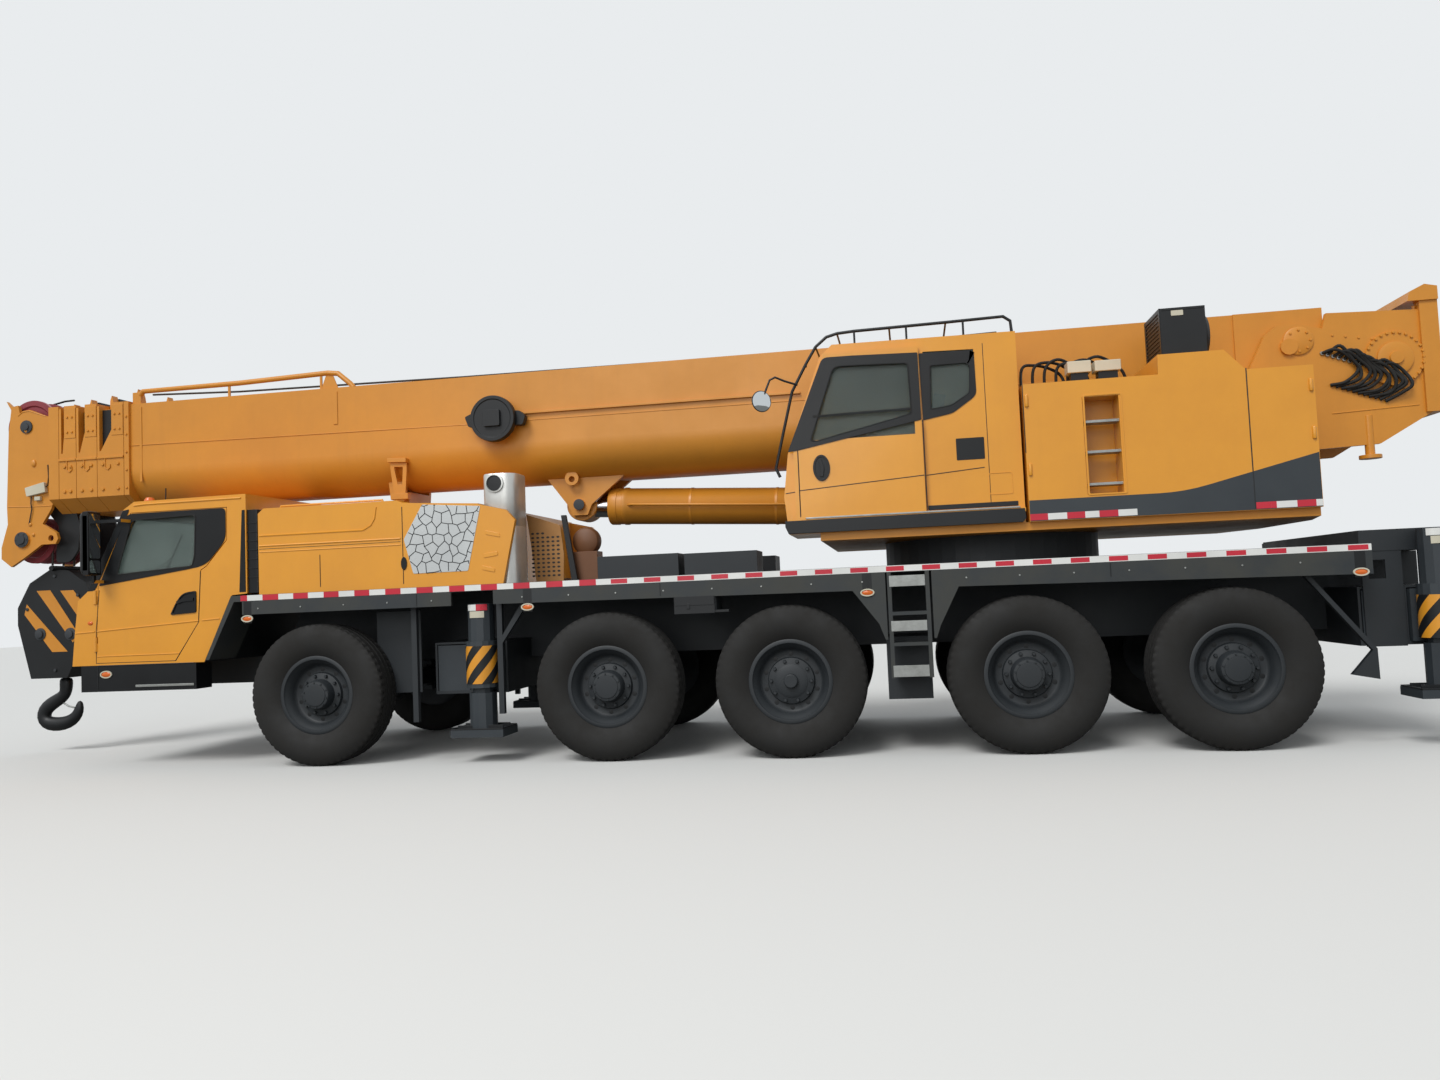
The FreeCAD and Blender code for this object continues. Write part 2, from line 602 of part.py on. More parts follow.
for side, word in SIDES:
    y0, y1 = across(side, s.cab_half - t, s.cab_half)
    panel = prism("door_panel_" + word, "XZ", door_outline(s.run), y0, y1)
    pocket(panel, "door_light_" + word, "XZ", door_window(Len(0, "0")), y0 - 1, y1 + 1)
    panel = cut("door_cut_" + word, panel, *hinges(side, word, "door_void", 80 + s.fit / 2, 66, 24))
    panel = fuse("door_leaf_" + word, panel, *hinges(side, word, "door_knuckle", 0, 80, 0), *mirror(side, word))
    g0, g1 = across(side, s.cab_half - t / 2 - s.pane, s.cab_half - t / 2)
    glass = prism("door_glass_" + word, "XZ", door_window(s.fit), g0, g1)
    node(group("door_set_" + word, panel, glass), "cab_door_" + word)
node(prism("cab_screen", "XZ", [
    (s.cab_nose + 215, s.cab_low + 805), (s.cab_nose + 575, top - 150), (s.cab_nose + 575 + s.pane, top - 150),
    (s.cab_nose + 215 + s.pane, s.cab_low + 805)], -s.cab_half + 130 + s.fit, s.cab_half - 130 - s.fit),
    "carrier_cab_glass")

# Cab inside: two seats, the dashboard and the steering wheel, seated on the floor
floor = s.cab_low + t + s.fit
inside = [prism("dash", "XZ", [
    (s.cab_nose + 150 + t, floor), (s.cab_nose + 400, floor), (s.cab_nose + 430, s.cab_low + 600),
    (s.cab_nose + 520, s.cab_low + 720), (s.cab_nose + 240 + t, s.cab_low + 720)], -s.cab_half + 160, s.cab_half - 160)]
for side, word in SIDES:
    y0, y1 = across(side, 420, 900)
    inside.append(prism("seat_" + word, "XZ", [
        (s.cab_nose + 850, floor), (s.cab_nose + 1150, floor), (s.cab_nose + 1200, floor + 400),
        (s.cab_nose + 1400, floor + 1120), (s.cab_nose + 1300, floor + 1140), (s.cab_nose + 1150, floor + 560),
        (s.cab_nose + 740, floor + 560), (s.cab_nose + 740, floor + 420), (s.cab_nose + 850, floor + 380)], y0, y1))
tilt = Rotation(Vector(0, 1, 0), 30)
wheel_x, wheel_z = s.cab_nose + 640, s.cab_low + 860
column = bar("steering_column", "z", 8, 30, wheel_x - 210, -660, wheel_z - 364, 420)
column.Placement.Rotation = tilt
rim = bar("steering_rim", "z", 20, 225, wheel_x - 12, -660, wheel_z - 21, 24)
rim.Placement.Rotation = tilt
void = bar("steering_void", "z", 20, 195, wheel_x - 40, -660, wheel_z - 69, 140)
void.Placement.Rotation = tilt
spoke = doc.addObject("Part::Box", "steering_spoke")
spoke.Length = 40
spoke.Width = 420
spoke.Height = 24
spoke.Placement.Rotation = tilt
place(spoke, wheel_x - 30, -870, wheel_z - 12)
inside[0] = fuse("dash_set", inside[0], column, cut("steering_ring", rim, void), spoke)
node(group("cab_inside", *inside), "carrier_cab_interior")

# Bumper and step aprons under the cab
low = s.bumper_low
aprons = [prism("bumper", "XY", [
    (s.cab_nose + 100, -s.cab_half), (s.cab_rear - 570, -s.cab_half), (s.cab_rear - 570, -s.cab_half + 240),
    (s.cab_nose + 390, -s.cab_half + 240), (s.cab_nose + 390, s.cab_half - 240), (s.cab_rear - 570, s.cab_half - 240),
    (s.cab_rear - 570, s.cab_half), (s.cab_nose + 100, s.cab_half)], low, s.cab_low - s.fit)]
node(fuse("aprons", *aprons, box("tow_nose", s.cab_nose + 60, s.cab_nose + 100, -200.0, 200.0, low + 30, low + 190)),
     "cab_bumper_steps")

# Engine hood, the silver panel behind it, and the engine under them
hood = prism("hood_shell", "XZ", [
    (s.hood_front, s.deck_top + s.fit), (s.grille_rear, s.deck_top + s.fit), (s.grille_rear, s.hood_top - 75),
    (s.hood_rear - 60, s.hood_top - 28), (s.hood_rear - 120, s.hood_top), (s.hood_front + 60, s.hood_top),
    (s.hood_front, s.hood_top - 50)], -s.hood_half, s.hood_half)
pocket(hood, "hood_room", "XZ", [
    (s.hood_front + 40, s.deck_top - 1), (s.grille_rear - 40, s.deck_top - 1), (s.grille_rear - 40, s.hood_top - 115),
    (s.hood_rear - 65, s.hood_top - 68), (s.hood_rear - 125, s.hood_top - 40), (s.hood_front + 80, s.hood_top - 40),
    (s.hood_front + 40, s.hood_top - 70)], -s.hood_half + 40, s.hood_half - 40)
wings = []
for side, word in SIDES:
    y0, y1 = across(side, s.hood_half - 50, s.hood_half)
    wings.append(prism("hood_wing_" + word, "XZ", [
        (s.grille_rear - 30, s.deck_top + s.fit), (s.grille_rear + 224, s.deck_top + s.fit),
        (s.grille_rear + 358, s.hood_top - 253), (s.grille_rear + 271, s.hood_top - 149),
        (s.grille_rear - 30, s.hood_top - 76)], y0, y1))
hood = fuse("hood", hood, *wings)
node(hood, "engine_hood")
node(box("engine", s.hood_front + 250, s.hood_rear, -420.0, 420.0, s.deck_top + s.fit, 2300.0), "engine_block")
stack = box("stack_box", s.grille_rear + s.fit, s.grille_rear + 415, -s.cab_half + 10, -s.cab_half + 560,
            s.deck_top + s.fit, 2735.0)
vent = bar("stack_vent", "y", 16, 75, s.grille_rear + 180, -s.cab_half - 15, 2640.0, 60)
guard = box("guard", s.grille_rear + 430 + s.fit, -720.0, -960.0, -640.0, s.deck_top + s.fit, 2350.0)
drum = bar("air_drum", "y", 16, 150, -500.0, -960.0, s.deck_top + 150 + s.fit, 380)
node(group("stack_set", fuse("stack", stack, vent), guard, drum), "exhaust_box")

# Deck boxes, tanks and the tool box under the deck
boxes = []
for side, word in SIDES:
    y0, y1 = across(side, 560, 1010)
    boxes.append(box("deck_box_a_" + word, -300.0, 500.0, y0, y1, s.deck_top + s.fit, 1905.0))
    boxes.append(box("deck_box_b_" + word, 560.0, 1260.0, y0, y1, s.deck_top + s.fit, 1895.0))
tanks = boxes
for side, word in SIDES:
    y0, y1 = across(side, s.frame_half + s.fit, 1200)
    tanks.append(box("tank_" + word, bay - 170, bay + 225, y0, y1, 480.0, 1040.0))
    y0, y1 = across(side, 1110, s.body_half - s.skirt_thick - s.fit)
    tanks.append(box("tool_box_" + word, s.axle3_x - 1020, s.axle3_x - 640, y0, y1, 1330.0, s.deck_low - s.fit))
# Struts beside the front jacks, flaps behind the last wheels, locker and end panels of the rear outrigger box
for side, word in SIDES:
    y0, y1 = across(side, 1325, 1375)
    jx = s.front_jack_x if side < 0 else s.front_jack_x - pitch
    tanks.append(box("post_" + word, s.front_jack_x - 677, s.front_jack_x - 624, y0, y1, 395.0, under))
    tanks.append(fuse("strut_" + word, box("strut_post_" + word, jx + 188, jx + 240, y0, y1, 455.0, under),
                      prism("strut_arm_" + word, "XZ", [
                          (jx + 200, 1130), (jx + 240, 1120), (jx + 590, under), (jx + 520, under)], y0, y1)))
    w5 = s.axle3_x + s.span_34 + s.span_45
    tanks.append(prism("flap_" + word, "XZ", [
        (w5 + 450, under), (w5 + 1080, 800), (w5 + 910, 602), (w5 + 1119, 560), (w5 + 1115, 813), (w5 + 497, under)],
        y0, y1))
    x0 = (s.rear_jack_x - pitch if side < 0 else s.rear_jack_x) - 150
    e0, e1 = across(side, s.beam_out - 34, s.beam_out - 20)
    panel = prism("end_panel_" + word, "XZ", [
        (x0, s.rear_beam_low - 38), (x0 + 315, s.rear_beam_low - 38), (x0 + 315, under), (x0, under)], e0, e1)
    tanks.append(pocket(panel, "end_hole_" + word, "XZ", [
        (x0 + 51, 1385), (x0 + 186, 1385), (x0 + 186, 1545), (x0 + 51, 1545)], e0 - 1, e1 + 1))
tanks.append(box("locker", s.deck_rear + 40, s.frame_rear - 50, -1155.0, 1155.0, s.deck_low, 1800.0))
node(group("box_set", *tanks), "boxes_and_tanks")

# Slewing ring on the chassis
node(bar("ring", "z", 48, s.ring_r, s.slew_x, 0, s.deck_top + s.fit, s.ring_top - s.deck_top - s.fit), "slew_ring")

# Boom rest on the hood
post = box("rest_post", -2760.0, -2600.0, -250.0, 250.0, s.hood_top + s.fit, s.boom_low - 15)
node(post, "boom_rest")

# Turntable: plate, cheeks for the boom foot, ram pin, boom foot pin and tail platform
plate = prism("table_plate", "XY", [
    (1900, -s.house_out + 60), (s.house_rear, -s.house_out + 60), (s.house_rear + 200, -s.cheek_in - 200),
    (s.house_rear + 200, s.cheek_in + 200), (s.house_rear, s.house_out - 60), (1900, s.house_out - 60)],
    s.ring_top + s.fit, s.table_top)
solids = [plate]
for side, word in SIDES:
    y0, y1 = across(side, s.cheek_in, s.cheek_in + s.cheek_thick)
    solids.append(prism("cheek_" + word, "XZ", [
        (s.slew_x - 1100, s.table_top - 10), (s.house_rear + 40, s.table_top - 10),
        (s.house_rear + 340, s.platform_z - 280), (s.foot_x + 720, s.platform_z - 260),
        (s.foot_x + 1170, s.platform_z), (s.tail_rear, s.platform_z), (s.tail_rear, s.platform_z + 40),
        (s.column_x + 10, s.platform_z + 40), (s.column_x + 10, s.column_top - 90), (s.foot_x + 340, s.column_top - 60),
        (s.foot_x + 300, s.foot_z + 150), (s.foot_x + 90, s.foot_z + 210), (s.foot_x - 90, s.foot_z + 210),
        (s.foot_x - 200, s.foot_z + 120), (s.foot_x - 500, 3050), (s.ram_x + 300, s.ram_z + 330),
        (s.ram_x - 300, s.ram_z + 250), (s.slew_x - 1000, s.table_top + 120)], y0, y1))
for side, word in SIDES:
    y0, y1 = across(side, s.boom_half - s.boom_wall, s.cheek_in + s.cheek_thick + 30)
    solids.append(bar("foot_pin_" + word, "y", 12, s.foot_r, s.foot_x, y0, s.foot_z, y1 - y0))
solids.append(bar("ram_pin", "y", 12, s.ram_pin_r, s.ram_x, -s.cheek_in - 20, s.ram_z, s.cheek_in * 2 + 40))
solids.append(box("tail_plate", s.foot_x + 300, s.tail_rear, -s.cheek_in - 10, s.cheek_in + 10,
                  s.platform_z, s.platform_z + 40))
for side, word in SIDES:
    y0, y1 = across(side, s.cheek_in + s.cheek_thick - 5, s.cheek_in + s.cheek_thick + 20)
    solids.append(bar("winch_flange_" + word, "y", 20, s.winch_r, s.tail_rear - 390, y0, s.winch_z, y1 - y0))
    c0, c1 = across(side, s.cheek_in - 20, s.cheek_in + s.cheek_thick + 30)
    solids.append(box("column_" + word, s.column_x, s.column_x + 150, c0, c1, s.platform_z, s.column_top))
solids.append(prism("column_cap", "XZ", [
    (s.column_x - 105, s.column_top - 20), (s.column_x - 80, s.column_top + 65), (s.column_x + 45, s.column_top + 125),
    (s.tail_rear - 10, s.column_top + 100), (s.tail_rear - 10, s.column_top - 20)], -s.cheek_in - 100, s.cheek_in + 100))
node(fuse("table", *solids), "turntable")

# Operator's cab: shell, panes, sliding door and seat
ux0, ux1, uz0, uz1 = s.ucab_front, s.ucab_rear, s.table_top + s.fit, s.ucab_top
w = s.ucab_wall
ucab = prism("ucab_shell", "XZ", [
    (ux0 + 30, uz0), (ux0, uz0 + 340), (ux0 + 50, uz0 + 725), (ux0 + 375, uz1 - 105), (ux0 + 490, uz1),
    (ux1, uz1 - 10), (ux1, uz0)], -s.ucab_out, -s.ucab_in)
pocket(ucab, "ucab_room", "XZ", [
    (ux0 + 30 + w, uz0 + w), (ux0 + w, uz0 + 340), (ux0 + 55 + w, uz0 + 725), (ux0 + 370 + w, uz1 - 110 - w / 2),
    (ux0 + 490 + w / 2, uz1 - w), (ux1 - w, uz1 - 10 - w), (ux1 - w, uz0 + w)], -s.ucab_out + w, -s.ucab_in - w)
pocket(ucab, "ucab_screen_hole", "XZ", [
    (ux0 - 40, uz0 + 420), (ux0 + 20, uz0 + 760), (ux0 + 330, uz1 - 150), (ux0 + 470, uz1 - 190),
    (ux0 + 150, uz0 + 700), (ux0 + 100, uz0 + 400)], -s.ucab_out + 60, -s.ucab_in - 60)
pocket(ucab, "ucab_door_hole", "XZ", [
    (ux0 + 150, uz0 + 160), (ux0 + 1215, uz0 + 160), (ux0 + 1215, uz1 - 120), (ux0 + 445, uz1 - 120),
    (ux0 + 150, uz0 + 800)], -s.ucab_out - 1, -s.ucab_out + w + 1)
rear_light = [
    (ux0 + 1290, uz0 + 980), (ux0 + 1520, uz0 + 1000), (ux0 + 1730, uz0 + 1150), (ux0 + 1730, uz1 - 140),
    (ux0 + 1290, uz1 - 130)]
pocket(ucab, "ucab_side_hole", "XZ", rear_light, -s.ucab_out - 1, -s.ucab_out + w + 1)
rail = box("slide_rail", ux0 + 105, ux1, -s.ucab_out - 50, -s.ucab_out, uz0 + 95, uz0 + 130 - s.fit)
node(fuse("ucab", ucab, rail), "operator_cab")
u_screen = prism("ucab_screen", "XZ", [
    (ux0 + 18, uz0 + 425), (ux0 + 68, uz0 + 745), (ux0 + 348, uz1 - 155), (ux0 + 360, uz1 - 160),
    (ux0 + 80, uz0 + 740), (ux0 + 30, uz0 + 425)], -s.ucab_out + 60 + s.fit, -s.ucab_in - 60 - s.fit)
f = s.fit
u_side = prism("ucab_side_pane", "XZ", [
    (ux0 + 1290 + f, uz0 + 980 + f), (ux0 + 1520 - f, uz0 + 1000 + f), (ux0 + 1730 - f, uz0 + 1150 + f),
    (ux0 + 1730 - f, uz1 - 140 - f), (ux0 + 1290 + f, uz1 - 130 - f)], -s.ucab_out + 10, -s.ucab_out + 10 + s.pane)
node(group("ucab_panes", u_screen, u_side), "operator_cab_glass")
slide = prism("slide_panel", "XZ", [
    (ux0 + 105, uz0 + 130), (ux0 + 1250, uz0 + 130), (ux0 + 1250, uz1 - 85), (ux0 + 415, uz1 - 85),
    (ux0 + 105, uz0 + 780)], -s.ucab_out - 50, -s.ucab_out - s.run)
pocket(slide, "slide_light", "XZ", [
    (ux0 + 165, uz0 + 830), (ux0 + 1190, uz0 + 830), (ux0 + 1190, uz1 - 140), (ux0 + 445, uz1 - 140),
    (ux0 + 165, uz0 + 860)], -s.ucab_out - 51, -s.ucab_out - s.run + 1)
slide_pane = prism("slide_pane", "XZ", [
    (ux0 + 165 + f, uz0 + 830 + f), (ux0 + 1190 - f, uz0 + 830 + f), (ux0 + 1190 - f, uz1 - 140 - f),
    (ux0 + 445 + f, uz1 - 140 - f), (ux0 + 165 + f, uz0 + 860 - f)], -s.ucab_out - 32, -s.ucab_out - 32 + s.pane)
node(group("slide_set", slide, slide_pane), "operator_door")
ufloor = uz0 + w + f
ymid = -(s.ucab_out + s.ucab_in) / 2
node(prism("ucab_seat", "XZ", [
    (ux0 + 950, ufloor), (ux0 + 1300, ufloor), (ux0 + 1330, ufloor + 420), (ux0 + 1480, ufloor + 1150),
    (ux0 + 1380, ufloor + 1170), (ux0 + 1260, ufloor + 570), (ux0 + 830, ufloor + 570), (ux0 + 830, ufloor + 430),
    (ux0 + 950, ufloor + 400)], ymid - 250, ymid + 250), "operator_station")

# Side housings, the left one with a ladder recess
hx0, hx1 = s.house_front, s.house_rear
left_house = prism("left_house", "XZ", [
    (hx0, s.table_top + s.fit), (hx1, s.table_top + s.fit), (hx1, s.house_top), (hx1 - 520, s.house_top), (hx1 - 545, s.house_top + 20),
    (hx1 - 690, s.house_top + 180), (hx1 - 1220, s.house_top + 180), (hx1 - 1225, s.house_top + 10),
    (hx0, s.house_top + 10)], -s.house_out, -s.house_in)
pocket(left_house, "ladder_bay", "XZ", [
    (hx0 + 490, 2210), (hx0 + 790, 2210), (hx0 + 790, 3050), (hx0 + 490, 3050)], -s.house_out - 1, -s.house_out + 260)
node(left_house, "left_housing")
node(prism("right_house", "XZ", [
    (1900, s.table_top + s.fit), (hx1, s.table_top + s.fit), (hx1, s.house_top - 60), (hx1 - 400, s.house_top - 30),
    (2300, s.house_top - 30), (1900, s.house_top - 330)], s.house_in, s.house_out), "right_housing")
cool_z = s.house_top + 180 + s.fit
cooler = box("cooler_case", hx1 - 1130, hx1 - 760, -1300.0, -760.0, cool_z, cool_z + 440)
node(cooler, "oil_cooler")

# Hoist winch behind the boom foot
winch = bar("winch_drum", "y", 20, s.winch_r, s.tail_rear - 390, -380.0, s.winch_z, 760)
legs = [box("winch_leg%d" % k, s.tail_rear - 560, s.tail_rear - 220, y, y + 40, s.platform_z + 40 + s.fit, s.winch_z + 60)
        for k, y in enumerate((-420.0, 380.0))]
node(fuse("winch", winch, *legs), "hoist_winch")


# Boom sections: flat sides and top, rounded below by a quarter circle of four chords on each side
QUARTER = ((1, 0), (0.924, 0.383), (0.707, 0.707), (0.383, 0.924), (0, 1))


def section(inset):
    """Outline of a boom section in the YZ plane, smaller by an inset all round."""
    half = s.boom_half - inset
    high = s.boom_top - inset
    low = s.boom_low + inset
    r = s.boom_round - inset
    right = [(half - r * (1 - c), low + r * (1 - d)) for c, d in QUARTER]
    left = [(-a, b) for a, b in reversed(right)]
    return [(-half, high), (half, high)] + right + left


def tube(name, inset, x0, x1, close):
    """Hollow boom section, closed at the rear over a given length."""
    body = prism(name, "YZ", section(inset), x0, x1)
    return pocket(body, name + "_hollow", "YZ", section(inset + s.boom_wall), x0 - 1, x1 - close)


def collar(name, inset, x0, x1):
    """Ring round the front end of a section, with bevelled lower corners."""
    half = s.boom_half + s.collar_out
    low = s.boom_low - s.collar_out
    body = prism(name, "YZ", [
        (-half, s.boom_top + s.collar_out), (-half, low + 150), (-half + 190, low), (half - 190, low), (half, low + 150),
        (half, s.boom_top + s.collar_out)], x0, x1)
    return pocket(body, name + "_mouth", "YZ", section(inset + s.boom_step - s.fit), x0 - 1, x1 + 1)


def brackets(name, foot, x0, tip):
    """Two pointed brackets on top of a section."""
    made = []
    for side, word in SIDES:
        y0, y1 = across(side, 200, 290)
        made.append(prism("%s_bracket_%s" % (name, word), "XZ", [
            (x0, foot), (x0 + 64, foot), (x0 + 46, s.boom_top + tip - 80), (x0 + 24, s.boom_top + tip),
            (x0 + 4, s.boom_top + tip - 60)], y0, y1))
    return made


def head_block(name, inset, x0, x1, tip):
    """Head of a section: block up to a ledge, ring at its rear, gussets and flanges beside it, brackets on top."""
    half = s.boom_half + s.collar_out
    low = s.boom_low - s.collar_out
    ledge = s.boom_low + s.ledge_up
    top = s.boom_top + s.collar_out
    block = prism(name + "_block", "YZ", [
        (-half, ledge), (-half, low + 150), (-half + 190, low), (half - 190, low), (half, low + 150), (half, ledge)], x0, x1)
    pocket(block, name + "_mouth", "YZ", section(inset + s.boom_step - s.fit), x0 - 1, x1 + 1)
    ring = prism(name + "_ring", "YZ", [(-half, top), (-half, ledge - 5), (half, ledge - 5), (half, top)], x1 - s.cap_len, x1)
    pocket(ring, name + "_seat", "YZ", section(inset + 2), x1 - s.cap_len - 1, x1 + 1)
    made = [block, ring] + brackets(name, s.boom_top - inset - 5, x0, tip)
    for side, word in SIDES:
        y0, y1 = across(side, s.boom_half - inset - 3, half)
        made.append(prism("%s_gusset_%s" % (name, word), "XZ", [
            (x0, ledge - 5), (x1 - s.cap_len + 2, ledge - 5), (x1 - s.cap_len + 2, ledge + 315), (x0 + 45, ledge + 75),
            (x0 + 28, ledge + 75), (x0 + 28, top - 30), (x0, top - 30)], y0, y1))
    return made


zero = Len(0, "0")
lug_low = s.eye_z - 130
base_tube = tube("base_tube", zero, s.boom_front, s.boom_rear, 40)
base_parts = [base_tube, collar("base_collar", zero, s.boom_front - s.flange, s.boom_front)]
base_parts += brackets("base", s.boom_top + s.collar_out - 5, s.boom_front - s.flange, 205)
base_parts.append(bar("cable_reel", "y", 16, s.reel_r, s.reel_x, -640, s.boom_low + s.reel_up, 80))
base_parts.append(box("reel_arm", s.reel_x - 90, s.reel_x + 90, -570.0, -s.boom_half + 6, s.boom_low + s.reel_up - 70,
                      s.boom_low + s.reel_up + 70))
for side, word in SIDES:
    y0, y1 = across(side, 150, 210)
    base_parts.append(prism("ram_lug_" + word, "XZ", [
        (s.eye_x - 350, s.boom_low + 36), (s.eye_x - 130, s.eye_z), (s.eye_x - 80, s.eye_z - 110),
        (s.eye_x + 80, s.eye_z - 110), (s.eye_x + 130, s.eye_z), (s.eye_x + 500, s.boom_low + 36)], y0, y1))
    p0, p1 = across(side, 150, 240)
    base_parts.append(bar("ram_stub_" + word, "y", 12, s.ram_pin_r, s.eye_x, p0, s.eye_z, p1 - p0))
    f0, f1 = across(side, s.boom_half - s.boom_wall, s.boom_half + 20)
    base_parts.append(prism("foot_plate_" + word, "XZ", [
        (s.boom_rear - 700, s.foot_z - 360), (s.foot_x + 150, s.foot_z - 260), (s.foot_x + 330, s.foot_z + 100),
        (s.foot_x + 330, s.boom_top), (s.boom_rear - 700, s.boom_top)], f0, f1))
foot_bore = rod("foot_bore", "y", s.foot_r + f, s.foot_x, -s.boom_half - 25, s.foot_z, s.boom_half * 2 + 50)
node(cut("base", fuse("base_solid", *base_parts), foot_bore), "base_boom")

# Telescopic sections: number, length of the head block, tip of its brackets above the boom
HEADS = ((1, 330, 155), (2, 258, 130), (3, 215, 90))
x = s.boom_front - s.flange - s.collar_gap
rear = s.boom_rear - 90
for number, length, tip in HEADS:
    inset = s.boom_step * number
    pipe = tube("tele%d_tube" % number, inset, x - length, rear, 20)
    node(fuse("tele%d" % number, pipe, *head_block("tele%d" % number, inset, x - length, x, tip)),
         "tele_section_%d" % number)
    x = x - length - s.collar_gap
    rear = rear - 40
inset = s.boom_step * 4
ring = collar("tele4_collar", inset, x - 127, x)
pipe = tube("tele4_tube", inset, x - 127, rear, 20)
head = x - 127
solids = [pipe, ring]
for side, word in SIDES:
    y0, y1 = across(side, s.head_half - s.head_plate, s.head_half)
    up, dn = s.boom_top, s.boom_low
    solids.append(prism("head_plate_" + word, "XZ", [
        (head + 20, up - 60), (head - 75, up - 55), (head - 300, up + 37), (head - 390, up + 27), (head - 426, up),
        (head - 448, up + 95), (head - 526, up + 85), (head - 599, up + 150), (head - 538, up + 48),
        (head - 573, up - 210), (head - 601, dn + 73), (head - 591, dn - 126), (head - 674, dn - 388),
        (head - 674, dn - 517), (head - 549, dn - 613), (head - 357, dn - 504), (head - 154, dn - 376),
        (head + 24, dn - 375), (head + 58, dn - 318), (head + 36, dn - 248), (head - 141, dn - 140),
        (head - 28, dn + 21), (head + 20, dn + 155)], y0, y1))
    b0, b1 = across(side, s.head_half - 5, s.head_half + 15)
    solids.append(bar("sheave_boss_" + word, "y", 12, 95, head - 396, b0, s.boom_low - 310, b1 - b0))
up_x, up_z = head - s.sheave_up_r - 15, s.boom_top - 160
low_x, low_z = head - 396, s.boom_low - 310
jib_bore = rod("jib_bore", "y", s.jib_pin_r, head - 34, -s.head_half - 5, s.boom_low - 308, s.head_half * 2 + 10)
node(cut("tele4", fuse("tele4_solid", *solids), jib_bore), "tele_section_4")
gap = s.head_half - s.head_plate - s.fit
upper = [(6, 55, -gap, gap)] + [(16, s.sheave_up_r, y, y + 50) for y in (-350, -125, 75, 300)]
lower = [(6, 55, -gap, gap)] + [(16, s.sheave_low_r, y, y + 50) for y in (-265, -105, 55, 215)]
falls = [bar("fall%d" % k, "z", 6, 12, s.block_x, y + 25, s.hang_z + 30 + s.fit, 160)
         for k, y in enumerate((-265, -105, 55, 215))]
node(group("sheaves", disc("up_set", upper, up_x, 0, up_z),
           fuse("low_sheaves", disc("low_set", lower, low_x, 0, low_z), *falls)), "head_sheaves")

# Luffing cylinder: barrel on the turntable pin and rod to the boom's lugs, each drawn along its own axis
reach = hypot(s.ram_x - s.eye_x, s.eye_z - s.ram_z)
slope = Len(math.degrees(math.atan2(s.eye_z - s.ram_z, s.ram_x - s.eye_x)),
            "atan2(%s; %s)" % ((s.eye_z - s.ram_z).text, (s.ram_x - s.eye_x).text))
eye = bar("barrel_eye", "y", 16, s.eye_r, 0, -150, 0, 300)
tube_x = bar("barrel_tube", "x", 20, s.ram_r, -(reach - 290), 0, 0, reach - 420)
barrel = cut("barrel", fuse("barrel_solid", eye, tube_x),
             bar("barrel_bore", "x", 16, s.ram_rod_r + s.fit * 2, -reach, 0, 0, reach - 300),
             bar("barrel_pin", "y", 24, s.ram_pin_r + 0.82, 0, -160, 0, 320))
eye = bar("rod_eye", "y", 16, s.eye_r, -reach, -140, 0, 280)
stem_x = bar("rod_stem", "x", 16, s.ram_rod_r, -(reach - 100), 0, 0, reach - 420)
stem = cut("stem", fuse("stem_solid", eye, stem_x),
           bar("rod_pin", "y", 24, s.ram_pin_r + 0.82, -reach, -150, 0, 300))
for piece, label in ((barrel, "luff_barrel"), (stem, "luff_rod")):
    piece.Placement.Rotation = Rotation(Vector(0, 1, 0), 3)
    place(piece, s.ram_x, 0, s.ram_z)
    piece.setExpression("Placement.Rotation.Angle", slope.text)
    node(piece, label)

# Hook block and hook
bx, hz = s.block_x, s.hang_z
low = hz - s.block_tall
block = prism("block_body", "XZ", [
    (bx - 60, hz - 10), (bx - 330, hz - 160), (bx - 490, hz - 440), (bx - 490, hz - 640), (bx - 320, low),
    (bx + 150, low), (bx + 470, hz - 640), (bx + 480, hz - 420), (bx + 400, hz - 180), (bx + 180, hz - 30)],
    -s.block_half, s.block_half)
hang = bar("block_pin", "y", 8, 30, bx, -265, s.hang_z, 530)
node(fuse("block", block, hang), "hook_block")
hook = prism("hook_body", "XZ", [
    (bx - 120, low - f), (bx - 120, low - 100), (bx - 60, low - 160), (bx - 60, low - 220), (bx - 220, low - 300),
    (bx - 340, low - 430), (bx - 300, low - 550), (bx - 150, low - 600), (bx + 60, low - 560), (bx + 160, low - 430),
    (bx + 170, low - 300), (bx + 100, low - 320), (bx + 70, low - 420), (bx - 30, low - 490), (bx - 150, low - 490),
    (bx - 210, low - 430), (bx - 160, low - 350), (bx + 20, low - 250), (bx + 40, low - 100), (bx + 30, low - f)],
    -s.hook_half, s.hook_half)
node(hook, "hook")

doc.recompute()
bad = [o.Name for o in doc.Objects if "Invalid" in o.State or "Error" in o.State]
if bad:
    raise RuntimeError("not computed: " + ", ".join(bad))
for obj in NODES:
    if obj.Shape.isNull() or not obj.Shape.isValid():
        raise RuntimeError("not a valid shape: " + obj.Label)
for obj in NODES:
    obj.Shape.exportStep("parts/%s.step" % obj.Label)
print(len(NODES), "sub-parts")
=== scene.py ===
import math
import bpy
import bmesh
import numpy as np
from mathutils import Matrix, Vector


